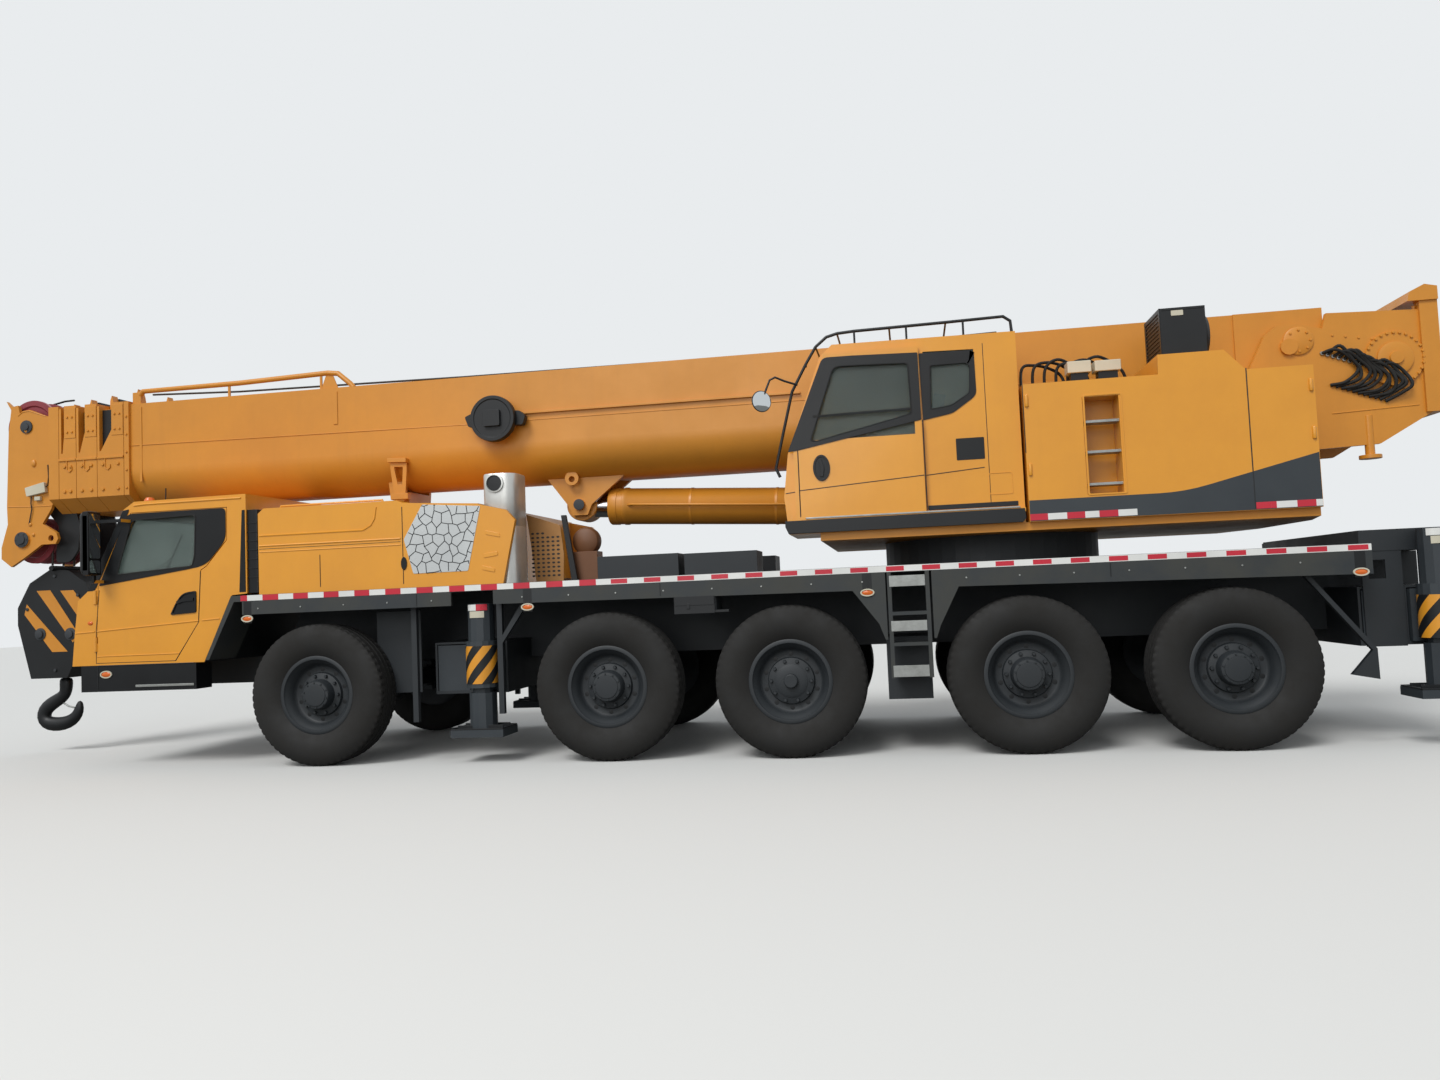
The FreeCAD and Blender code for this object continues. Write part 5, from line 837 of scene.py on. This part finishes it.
# Engine hood: pressed grooves, seam, stainless panel, louvres and catches
for side, word in SIDES:
    y = side * HOOD
    piece("hood_beads_" + word, "carrier", cab_enamel, [
        bead([(-3.60, 2.257), (-2.50, 2.257), (-2.42, 2.30), (-2.38, 2.36), (-2.36, 2.475)], y, 0.009),
        bead([(-3.60, 2.156), (-2.117, 2.156)], y, 0.009), bead([(-3.60, 2.096), (-2.117, 2.096)], y, 0.006)])
    piece("hood_seams_" + word, "carrier", black_enamel, [
        bead([(-3.60, 2.126), (-2.117, 2.126)], y, 0.0025), bead([(-2.957, 1.73), (-2.957, 2.04)], y, 0.004),
        bead([(-2.095, 1.72), (-2.095, 2.46)], y, 0.004)])
    piece("hood_catches_" + word, "carrier", black_abs, [
        slab("XZ", ellipse(-2.085, 1.915, 0.030, 0.062), *sorted(proud(y, 0.010)))], bevel=0.003)
    shape = np.array([(-1.887, 2.470), (-1.300, 2.424), (-1.440, 1.815), (-1.993, 1.812), (-2.082, 2.145)])
    piece("side_panel_" + word, "carrier", pale_film, [slab("XZ", rounded(shape, 0.015), *sorted(proud(y, 0.004)))],
        bevel=0.001)
    piece("panel_cells_" + word, "carrier", black_abs, [strip(np.array(seam), 0.007,
            *sorted(proud(y, 0.0055))) for seam in cells(shape)])
    vents = [[(-1.261, 2.190), (-1.120, 2.158), (-1.110, 2.118), (-1.255, 2.150)],
        [(-1.281, 1.969), (-1.139, 1.987), (-1.139, 1.947), (-1.281, 1.929)],
        [(-1.298, 1.859), (-1.170, 1.829), (-1.175, 1.790), (-1.303, 1.820)]]
    piece("wing_vents_" + word, "carrier", cab_enamel, [slab("XZ", rounded(v, 0.012),
            *sorted(proud(y, 0.006))) for v in vents],
        bevel=0.003)
    piece("hood_rails_" + word, "carrier", cab_enamel, [
        tube([(-3.50, side * 1.25, 2.522), (-3.48, side * 1.25, 2.56), (-2.40, side * 1.25, 2.56), (-2.38, side * 1.25,
            2.522)],
            0.012, 10)], smooth=50)
# Louvres across the hood's top
piece("hood_louvres", "carrier", black_enamel, [
    laid(brick(-0.42, 0.42, -0.006, 0.006, 0.0, 0.012), (x, yy, 2.5254), (0, 1, 0), (-1, 0, 0))
    for x in np.arange(-3.35, -2.55, 0.05) for yy in (-0.75, 0.75)])
# Exhaust: rounded stack with a rolled seam, outlet with a dark mouth; perforated guard, its post, the air drum
stack = rounded(oblong(-1.318, -0.985, -1.378, -1.0), [0.10, 0.14, 0.10, 0.10], 8)
mid = stack.mean(0)
levels = ((1.0, 1.681), (1.0, 2.222), (0.985, 2.226), (0.985, 2.232), (1.0, 2.236), (1.0, 2.722), (0.97, 2.735))
piece("exhaust_stack", "carrier", stainless_sheet, [skin(np.stack([
        np.column_stack([mid + (stack - mid) * g, np.full(len(stack), z)]) for g, z in levels]))], smooth=40,
    stands_for=["exhaust_box"])
piece("exhaust_outlet", "carrier", stainless_sheet, [
    turned([(0.080, -0.02), (0.090, 0.0), (0.090, 0.016), (0.076, 0.018), (0.070, -0.02)], (-1.180, -1.380, 2.640), (0,
        -1, 0), 40,
        closed=True)], smooth=40)
piece("exhaust_mouth", "carrier", black_enamel, [
    turned([(0.074, 0.0), (0.070, 0.006), (0.0005, 0.008)], (-1.180, -1.380, 2.640), (0, -1, 0), 32)])
guard = np.array([(-1.045, 2.365), (-0.699, 2.243), (-0.669, 1.958), (-0.680, 1.69), (-0.960, 1.69)])
piece("perforated_guard", "carrier", tan_primer, [slab("XZ", guard, -0.905, -0.893),
    brick(-0.96, -0.69, -0.893, -0.60, 1.681, 1.72)], bevel=0.003)
# Holes of the guard as black ovals on its face: painted shade seen through them
piece("guard_hole_shade", "carrier", black_enamel, [slab("XZ", ellipse(x, z, 0.0165, 0.0105, 10), -0.9062, -0.9050)
    for x in np.arange(-0.985, -0.70, 0.052) for z in np.arange(1.75, 2.27,
        0.042)
    if z < 2.21 - 0.3 * (x + 0.98)])
piece("guard_post", "carrier", black_enamel, [slab("XZ", [(-0.69, 2.34), (-0.64, 2.34), (-0.54, 1.681), (-0.60, 1.681)],
        -0.90, -0.86)], bevel=0.003)
piece("air_drum", "carrier", brown_enamel, [
    turned([(0.0005, 0.0), (0.09, 0.006), (0.128, 0.03), (0.140, 0.07), (0.140, 0.14), (0.128, 0.18), (0.09, 0.20),
        (0.0005, 0.205)], (-0.490, -0.80, 2.080), (0, 1, 0), 40),
    brick(-0.62, -0.36, -0.80, -0.60, 1.681, 1.975)], smooth=40, bevel=0.004)
# Hook block: diagonal stripes and bolts on both cheeks. Hook: an oval bar along a bent line, with its latch
STRIPES = ([(-7.37, 1.72), (-7.40, 1.60), (-7.04, 1.16), (-6.84, 1.16)], [(-7.24, 1.87), (-7.06, 1.87), (-6.70, 1.36),
    (-6.77, 1.26)],
    [(-6.93, 1.86), (-6.76, 1.86), (-6.60, 1.66), (-6.64, 1.47)])
for side, word in SIDES:
    y = side * CHEEK_OF_BLOCK
    piece("block_stripes_" + word, "hook_block", boom_enamel, [
        slab("XZ", shape, *sorted(proud(y, 0.0015))) for shape in STRIPES])
    piece("block_details_" + word, "hook_block", cast_iron, [
        turned([(0.070, 0.0), (0.070, 0.010), (0.048, 0.014), (0.044, 0.030), (0.020, 0.034), (0.0005, 0.034)], (x, y,
            z),
            (0, side, 0), 32) for x, z in ((-7.19, 1.37), (-6.80, 1.36))]
        + [studs([(x, y, z) for x, z in ((-7.36, 1.66), (-7.00, 2.03), (-7.0, 0.95), (-6.7, 1.80))], (0, side, 0),
            0.020, 0.014)],
        smooth=40)
bend = np.array([(-7.045, 0.8595), (-7.048, 0.78), (-7.050, 0.71), (-7.070, 0.650), (-7.150, 0.600), (-7.250, 0.550),
    (-7.330, 0.485), (-7.352, 0.400), (-7.310, 0.335), (-7.210, 0.312), (-7.080, 0.318), (-6.965, 0.358),
    (-6.895, 0.43), (-6.872, 0.51), (-6.866, 0.58)])
thick = np.array([0.076, 0.076, 0.072, 0.070, 0.074, 0.080, 0.084, 0.086, 0.086, 0.084, 0.080, 0.072, 0.062, 0.050,
    0.024])
way = np.gradient(bend, axis=0)
way /= np.linalg.norm(way, axis=1)[:, None]
turn = np.linspace(0, 2 * np.pi, 24, endpoint=False)
rings = [np.column_stack([x - w * r * np.cos(turn), r * np.sin(turn) * 0.78, z + u * r * np.cos(turn)])
    for (x, z), (u, w), r in zip(bend, way, thick)]
piece("hook_bar", "hook", black_enamel, [skin(np.stack(rings))], smooth=60, stands_for=["hook"]).modifiers.new(
    "round", "SUBSURF").render_levels = 1
piece("hook_latch", "hook", plated_steel, [
    tube([(-7.13, 0, 0.60), (-7.09, 0, 0.56), (-7.02, 0, 0.52), (-6.94, 0, 0.50)], 0.010, 10)], smooth=50)

# Operator's cab: black frames round the glass, rubbers, handle, plates, base, sill and seams
door, UPPER = "operator_door", "superstructure"
DOOR, WALL = -1.4902, -1.4402
frame_out = rounded([(1.645, 2.736), (1.992, 3.572), (2.258, 3.570), (2.835, 3.552), (2.838, 2.951), (1.742, 2.749)],
    [0.02, 0.05, 0.01, 0.01, 0.01, 0.03])
frame_in = rounded([(1.852, 2.828), (2.086, 3.487), (2.258, 3.484), (2.750, 3.468), (2.762, 3.010), (1.90, 2.815)],
    [0.02, 0.06, 0.01, 0.03, 0.03, 0.02])
piece("operator_frame", door, black_abs, [band("XZ", frame_out, frame_in, DOOR - 0.007, DOOR)], bevel=0.002)
piece("operator_rubber", door, tyre_rubber, [
    band("XZ", frame_in, frame_in.mean(0) + (frame_in - frame_in.mean(0)) * 0.975, DOOR - 0.011, DOOR),
    strip([(1.885, 3.045), (2.755, 3.055)], 0.022, DOOR - 0.009, DOOR)], bevel=0.002)
rear_out = rounded([(2.845, 3.552), (3.291, 3.547), (3.323, 3.526), (3.327, 3.143), (3.115, 2.998), (2.855, 2.951)],
    [0.01, 0.02, 0.02, 0.05, 0.04, 0.01])
rear_in = rounded([(2.936, 3.439), (3.249, 3.443), (3.283, 3.411), (3.270, 3.167), (3.109, 3.065), (2.924, 3.041)],
    0.018)
piece("rear_frame", UPPER, black_abs, [band("XZ", rear_out, rear_in, WALL - 0.007, WALL)], bevel=0.002)
piece("rear_rubber", UPPER, tyre_rubber, [
    band("XZ", rear_in, rear_in.mean(0) + (rear_in - rear_in.mean(0)) * 0.96, WALL - 0.011, WALL)], bevel=0.002)
piece("operator_handle", door, black_abs, [
    band("XZ", ellipse(1.941, 2.579, 0.076, 0.118), ellipse(1.941, 2.579, 0.058, 0.098), DOOR - 0.012, DOOR),
    slab("XZ", ellipse(1.941, 2.579, 0.060, 0.100), DOOR - 0.003, DOOR),
    strip([(1.925, 2.66), (1.95, 2.58), (1.94, 2.50)], 0.030, DOOR - 0.018, DOOR)], bevel=0.003)
piece("operator_grooves", door, black_enamel, [
    bead([(1.735, 2.150), (1.735, 2.745)], DOOR), bead([(2.850, 2.150), (2.850, 2.950)], DOOR),
    bead([(1.74, 2.386), (2.838, 2.460)], DOOR, 0.004)])
piece("operator_seams", UPPER, black_enamel, [
    bead([(1.605, 2.371), (1.72, 2.384)], WALL, 0.004), bead([(2.86, 2.462), (3.361, 2.502)], WALL, 0.004),
    bead([(3.40, 2.16), (3.40, 3.60)], WALL, 0.003)])
piece("operator_sill", UPPER, plated_steel, [brick(1.78, 3.638, DOOR - 0.008, DOOR, 2.128, 2.142)], bevel=0.002)
piece("operator_base", UPPER, black_enamel, [
    slab("XZ", [(1.593, 2.118), (3.676, 2.122), (3.684, 2.037), (3.656, 2.003), (1.620, 2.003), (1.593, 2.065)],
        DOOR - 0.006, WALL),
    brick(2.86, 3.63, WALL - 0.005, WALL, 2.150, 2.192)], bevel=0.003)
piece("operator_plate", UPPER, black_abs, [
    slab("XZ", rounded(oblong(3.128, 3.370, 2.577, 2.770), 0.008), WALL - 0.003, WALL)], bevel=0.001)
piece("operator_hatch", UPPER, cab_enamel, [
    band("XZ", rounded(oblong(3.392, 3.593, 2.257, 2.449), 0.02),
        rounded(oblong(3.398, 3.587, 2.263, 2.443), 0.018), WALL - 0.004, WALL)], bevel=0.001)
# Roof rail with rungs, roof slats, front screen wiper, round mirror on its arm, roof lamp
rail = [(1.553, 2.534), (1.518, 2.615), (1.601, 2.943), (1.697, 3.311), (1.835, 3.557), (1.930, 3.707), (2.032, 3.790),
    (2.130, 3.815), (2.285, 3.824), (3.1, 3.835), (3.60, 3.845), (3.66, 3.80), (3.67, 3.66)]
piece("roof_rail", UPPER, black_enamel, [tube([(x, -1.35, z) for x, z in rail], 0.014, 10)] + [
    tube([(a, -1.35, b), (a, -1.35, b - d)], 0.010, 8)
    for a, b, d in ((1.835, 3.557, 0.03), (2.285, 3.824, 0.17), (2.75, 3.829, 0.16), (3.25, 3.838, 0.16))]
    + [tube([(x, -1.35, z), (x + 0.01, -0.76, z)], 0.009, 8) for x, z in ((1.93, 3.707), (2.13, 3.815), (2.6, 3.828),
        (3.1, 3.835))]
    + [tube([(x, -0.76, z - 0.15), (x, -0.76, z)], 0.009, 8) for x, z in ((2.3, 3.826), (2.75, 3.829), (3.25, 3.838))]
    + [tube([(2.13, -0.76, 3.815), (3.60, -0.76, 3.845)], 0.012, 8)], smooth=50)
piece("roof_slats", UPPER, cab_enamel, [brick(2.15, 3.45, y, y + 0.05, 3.690, 3.705) for y in np.arange(-1.32, -0.70,
        0.10)],
    bevel=0.003)
piece("mirror_arm_round", UPPER, black_enamel, [
    tube([(1.440, -1.545, 3.215), (1.479, -1.52, 3.318), (1.512, -1.50, 3.403), (1.562, -1.50, 3.425), (1.638, -1.46,
        3.394),
        (1.752, -1.40, 3.360)], 0.010, 10)], smooth=50)
piece("mirror_round_shell", UPPER, black_abs, [
    turned([(0.0005, -0.035), (0.05, -0.03), (0.085, -0.012), (0.098, 0.008), (0.094, 0.014)], (1.43, -1.54, 3.206),
        (0.55, -0.82, 0.0), 40)], smooth=50)
piece("mirror_round_glass", UPPER, mirror_glass, [
    turned([(0.092, 0.0135), (0.06, 0.022), (0.03, 0.026), (0.0005, 0.027)], (1.43, -1.54, 3.206), (0.55, -0.82, 0.0),
        40)],
    smooth=60)
piece("screen_wiper", UPPER, black_abs, [
    tube([(1.62, -1.05, 2.68), (1.66, -1.02, 2.86), (1.72, -0.98, 3.03)], 0.008, 8),
    tube([(1.655, -1.18, 2.78), (1.80, -1.14, 3.10)], 0.009, 8)], smooth=50)
piece("roof_lamp", UPPER, amber_acrylic, [
    turned(BEACON, (3.45, -0.95, 3.693), (0, 0, 1), 32)])
# Left housing: grey band, tape along its foot, steps in the recess, seams, vents and hinges
piece("housing_band", UPPER, chassis_enamel, [
    slab("XZ", rounded([(3.715, 2.184), (4.982, 2.186), (6.057, 2.457), (6.057, 2.003), (3.715, 2.003)],
        [0.004, 0.2, 0.004, 0.004, 0.004]), -HOUSING - 0.002, -HOUSING)], bevel=0.001)
marks = ((3.705, 3.864, 1), (3.864, 4.022, 0), (4.022, 4.171, 1), (4.171, 4.287, 0), (4.287, 4.442, 1), (4.442, 4.596,
    0),
    (5.541, 5.700, 1), (5.700, 5.859, 0), (5.859, 6.006, 1), (6.006, 6.057, 0))
for label, mat, want in (("red", tape_red, 1), ("white", tape_white, 0)):
    piece("housing_tape_" + label, UPPER, mat, [brick(max(a, 3.715), b, -HOUSING - 0.0035, -HOUSING, 2.010, 2.065)
        for a, b, k in marks if k == want])
piece("housing_seams", UPPER, black_enamel, [
    bead([(5.535, 2.01), (5.535, 3.20)], -HOUSING, 0.005), bead([(3.712, 2.60), (3.712, 3.30)], -HOUSING, 0.004)])
piece("recess_shelves", UPPER, plated_steel, [brick(4.222, 4.515, -1.455, -1.30, z - 0.012, z + 0.012) for z in (2.84,
        2.576, 2.297)],
    bevel=0.003)
piece("recess_lining", UPPER, cab_enamel, [
    band("XZ", rounded(oblong(4.205, 4.530, 2.20, 3.07), 0.02),
        rounded(oblong(4.221, 4.516, 2.214, 3.056), 0.012), -HOUSING - 0.006, -HOUSING)], bevel=0.002)
piece("housing_hinges", UPPER, cab_enamel, [
    turned([(0.014, -0.05), (0.016, -0.045), (0.016, 0.045), (0.014, 0.05)], (x, -HOUSING - 0.004, z), (0, 0, 1), 16)
    for x, z in ((6.03, 2.62), (6.03, 3.02), (3.74, 2.45), (3.74, 3.05))])
piece("right_band", UPPER, chassis_enamel, [slab("XZ", [(1.905, 2.18), (4.98, 2.186), (6.055, 2.457), (6.055, 2.003),
        (1.905, 2.003)],
        *proud(HOUSING, 0.002))])
piece("right_seams", UPPER, black_enamel, [bead([(x, 2.02), (x, 3.12)], 1.4902, 0.005) for x in (2.9, 3.9, 4.9, 5.535)]
    + [slab("XZ", rounded(oblong(x, x + 0.5, z, z + 0.022), 0.008), *proud(HOUSING, 0.006))
    for x in (3.1, 4.1) for z in np.arange(2.6, 3.0, 0.05)])
# Cooler: fan shroud and grille bars; electrical boxes on stands with hoses; covers of the boom's pivot
piece("cooler_shroud", UPPER, black_enamel, [
    turned([(0.17, 0.0), (0.205, 0.0), (0.205, 0.030), (0.185, 0.055), (0.17, 0.055)], (5.301, -1.03, 3.59), (1, 0, 0),
        48,
        closed=True)] + [
    turned([(0.004 + r, 0.030), (0.008 + r, 0.036), (0.004 + r, 0.042)], (5.301, -1.03, 3.59), (1, 0, 0), 40,
        closed=True)
    for r in (0.03, 0.065, 0.10, 0.135)] + [brick(4.945, 5.285, -1.304, -1.300, 3.39, 3.395), brick(4.945, 5.285,
        -1.304, -1.300, 3.79, 3.795)],
    bevel=0.001)
piece("cooler_edge", UPPER, black_abs, [band("YZ", oblong(-1.302, -0.758, 3.372, 3.812),
        oblong(-1.26, -0.80, 3.41, 3.775), 4.922, 4.930)]
    + [brick(4.924, 4.930, -1.26, -0.80, z, z + 0.01) for z in np.arange(3.43, 3.77, 0.035)], bevel=0.001)
piece("cooler_plate", UPPER, pale_coating, [slab("XZ", rounded(oblong(5.02, 5.12, 3.74, 3.785), 0.006),
        -1.304, -1.300)])
piece("electric_boxes", UPPER, pale_coating, [
    brick(4.19, 4.40, -0.95, -0.78, 3.372, 3.480), brick(4.43, 4.66, -0.95, -0.78, 3.372, 3.470)], bevel=0.008)
hoses = []
for k in range(6):
    a = 3.78 + 0.11 * k
    hoses.append(tube(eased([(a, -0.85 + 0.03 * k, 3.19), (a + 0.02, -0.84 + 0.03 * k, 3.46), (a + 0.14, -0.78,
            3.50 + 0.02 * (k % 3)),
            (a + 0.30, -0.70, 3.47 + 0.02 * (k % 2)), (a + 0.40, -0.70, 3.38), (a + 0.42, -0.71,
            3.19)]), 0.014, 10))
piece("roof_hoses", UPPER, tyre_rubber, hoses, smooth=60)
piece("electric_stands", UPPER, black_enamel, [brick(x0, x1, -0.93, -0.80, 3.1995, 3.374) for x0, x1 in ((4.22, 4.37),
        (4.46, 4.63))])
for side, word in SIDES:
    y = side * CHEEK
    piece("pivot_cover_" + word, UPPER, boom_enamel, [
        turned([(0.130, 0.0), (0.130, 0.014), (0.118, 0.020), (0.0005, 0.022)], (6.307, y, 3.591), (0, side, 0), 48),
        studs(around(6.307, y + side * 0.02, 3.591, 0.10, np.arange(8) * 0.785),
            (0, side, 0), 0.012, 0.010)], smooth=40)
# Winch: grooved drum with its rope, toothed flanges with bolts; hoses at the tail, column pipe and cap edge
piece("winch_rope", UPPER, wire_rope, [
    turned([(0.226, k * 0.026 - 0.338), (0.254, k * 0.026 - 0.331), (0.254, k * 0.026 - 0.319), (0.226,
        k * 0.026 - 0.312)],
        (7.100, 0, 3.363), (0, 1, 0), 48, closed=True) for k in range(26)], smooth=60)
for side, word in SIDES:
    y = side * FLANGE
    piece("winch_teeth_" + word, UPPER, boom_enamel, [
        studs(around(7.100, y, 3.363, 0.238, np.arange(28) * 2 * math.pi / 28), (0, side, 0), 0.013, 0.014, 8),
        turned([(0.150, 0.0), (0.150, 0.020), (0.125, 0.026), (0.060, 0.028), (0.055, 0.050), (0.0005, 0.052)],
            (7.100, y, 3.363), (0, side, 0), 40)], smooth=40)
    piece("column_pipe_" + word, UPPER, boom_enamel, [
        tube([(7.315, side * 0.50, 2.92), (7.315, side * 0.50, 3.84)], 0.017, 10)], smooth=50)
    hoses, lot = [], np.random.default_rng(11)
    for k in range(11):
        x, z = 6.50 + 0.045 * k, 3.46 - 0.018 * k
        s = lot.uniform(-0.03, 0.03, 5)
        run = [(x, side * 0.548, z), (x + 0.09, side * 0.60, z + 0.04 + s[0]), (x + 0.20, side * 0.585,
            z - 0.05 + s[1]),
            (x + 0.28 + s[2], side * (0.575 + 0.004 * k), z - 0.17), (x + 0.20 + s[3], side * 0.58, z - 0.26 + s[4]),
            (x + 0.05, side * 0.55, z - 0.30)]
        hoses.append(tube(eased(run), 0.015, 10))
    piece("tail_hoses_" + word, UPPER, tyre_rubber, hoses, smooth=60)
    fittings = [(6.50 + 0.045 * k, side * 0.541, 3.46 - 0.018 * k) for k in range(11)]
    piece("hose_fittings_" + word, UPPER, plated_steel, [studs(fittings, (0, side, 0), 0.020, 0.018)])
    piece("cheek_details_" + word, UPPER, boom_enamel, [
        studs([(6.60 + 0.11 * k, side * CHEEK, 3.62 - 0.02 * k) for k in range(6)], (0, side, 0), 0.011, 0.009),
        tube([(6.55, side * CHEEK, 2.90), (7.28, side * CHEEK, 2.93)], 0.006, 6)])
    # Lamps on the rear outrigger box
    piece("tail_lamps_" + word, "carrier", red_acrylic, [
        slab("YZ", rounded(oblong(side * 0.86, side * 1.08, 1.13, 1.23), 0.02), 7.1502, 7.1622)],
        bevel=0.003)
    piece("turn_lamps_" + word, "carrier", amber_acrylic, [
        slab("YZ", rounded(oblong(side * 0.70, side * 0.84, 1.13, 1.23), 0.02), 7.1502, 7.1622)],
        bevel=0.003)
piece("rear_plate", "carrier", pale_coating, [slab("YZ", rounded(oblong(-0.26, 0.26, 1.16, 1.28), 0.012),
        7.2002, 7.2062)])
piece("tail_pin", UPPER, boom_enamel, [
    turned([(0.040, 0.0), (0.040, 0.36)], (6.855, -0.515, 2.503), (0, 0, 1), 24),
    turned([(0.092, 0.0), (0.092, 0.034), (0.040, 0.040)], (6.855, -0.515, 2.468), (0, 0, 1), 32)], smooth=40,
    bevel=0.003)
# Luffing cylinder: turned barrel with its gland, chromed rod, eyes with bushes, oil pipe on clamps
PIN, EYE = np.array((3.770, 0, 2.260)), np.array((-0.700, 0, 2.500))
way = (EYE - PIN) / np.linalg.norm(EYE - PIN)


def cylinder_eye(centre, bore, half):
    """A cylinder's eye with chamfered rims, as wide as twice half."""
    chamfer = 0.007
    rim = [(bore, half), (0.158, half), (0.165, half - chamfer)]
    return turned([(r, -h) for r, h in rim] + rim[::-1], centre, (0, 1, 0), 48, closed=True)


piece("barrel_body", "luff_barrel", boom_enamel, [
    turned([(0.0005, 0.13), (0.165, 0.13), (0.192, 0.17), (0.192, 3.98), (0.200, 3.99), (0.200, 4.03), (0.194, 4.035),
        (0.194, 4.09), (0.200, 4.095), (0.200, 4.172), (0.190, 4.186), (0.1215, 4.186), (0.1215, 3.90), (0.0005,
        3.90)],
        PIN, way, 64),
    cylinder_eye(PIN, 0.062, 0.15)], smooth=40, stands_for=["luff_barrel"])
piece("rod_stem", "luff_rod", hard_chrome, [
    turned(oblong(0.0005, 0.1195, 0.45, 4.36), PIN, way, 64)], smooth=40, stands_for=["luff_rod"])
piece("rod_eye", "luff_rod", boom_enamel, [
    cylinder_eye(EYE, 0.0605, 0.14)], smooth=40)
ends = [PIN + way * h + np.array((0, -0.205, 0)) for h in (3.95, 2.3)]
piece("barrel_pipe", "luff_barrel", boom_enamel, [
    tube([ends[0] + (0, 0.05, 0), ends[0], ends[0] + (0.04, -0.02, 0), ends[1] + (0, -0.02, 0), ends[1] + (0.05, 0.05,
        0)],
        0.014, 10)], smooth=50)
piece("pipe_clamps", "luff_barrel", boom_enamel, [
    turned(oblong(0.193, 0.1965, -0.012, 0.012), PIN + way * h, way, 48, closed=True)
    for h in (0.6, 2.4, 3.3)], smooth=40)
for side, word in SIDES:
    piece("eye_pin_" + word, "base_boom", cast_iron, [
        turned([(0.030, 0.0), (0.058, 0.0), (0.058, 0.014), (0.030, 0.018), (0.0005, 0.018)], EYE + (0, side * 0.2402,
            0),
            (0, side, 0), 32)], smooth=40)

# Stage: a pale floor that fades into the background, a soft sky and one wide lamp
ground = bpy.data.meshes.new("floor")
span = np.array([(-60.0, -40, 0), (60, -40, 0), (60, 60, 0), (-60, 60, 0)])
ground.from_pydata(span.tolist(), [], [(0, 1, 2, 3)])
floor = bpy.data.objects.new("floor", ground)
scene.collection.objects.link(floor)
floor_mat = bpy.data.materials.new("studio_floor")
floor_mat.use_nodes = True
floor_tree = floor_mat.node_tree
seen_by = add(floor_tree, "ShaderNodeLightPath")
tone = add(floor_tree, "ShaderNodeMix", {"Factor": (seen_by, "Is Camera Ray"), "A": srgb("#7A7A77"),
    "B": srgb("#D9D9D6")},
    data_type="RGBA")
floor_tree.links.new(tone.outputs[2], floor_tree.nodes["Principled BSDF"].inputs["Base Color"])
floor_tree.nodes["Principled BSDF"].inputs["Roughness"].default_value = 0.9
ground.materials.append(floor_mat)
floor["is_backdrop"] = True

world = bpy.data.worlds.new("studio")
world.use_nodes = True
scene.world = world
sky = world.node_tree
back = sky.nodes["Background"]
rays = add(sky, "ShaderNodeLightPath")
plain = add(sky, "ShaderNodeBackground", {"Color": srgb("#E9ECEE"), "Strength": 1.0})
back.inputs["Color"].default_value = srgb("#E6EAEE")
back.inputs["Strength"].default_value = 0.66
seen = add(sky, "ShaderNodeMath", {0: (rays, "Is Camera Ray"), 1: (rays, "Is Glossy Ray")}, operation="MAXIMUM")
either = add(sky, "ShaderNodeMath", {0: (seen, 0), 1: (rays, "Is Transmission Ray")}, operation="MAXIMUM")
choose = add(sky, "ShaderNodeMixShader", {0: (either, 0), 1: (back, 0), 2: (plain, 0)})
sky.links.new(choose.outputs[0], sky.nodes["World Output"].inputs["Surface"])


def lamp(name, kind, power, place, target, size):
    """A soft lamp at a place, looking at a target."""
    data = bpy.data.lights.new(name, kind)
    data.energy = power
    if kind == "AREA":
        data.shape, data.size = "DISK", size
    else:
        data.angle = size
    obj = bpy.data.objects.new(name, data)
    obj.location = place
    obj.rotation_euler = (Vector(target) - Vector(place)).to_track_quat("-Z", "Y").to_euler()
    scene.collection.objects.link(obj)


lamp("sun", "SUN", 1.85, (-6, -14, 18), (0, 0, 1), math.radians(25))
lamp("front", "AREA", 500, (-2, -16, 7), (0, 0, 2), 10)

low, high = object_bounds()
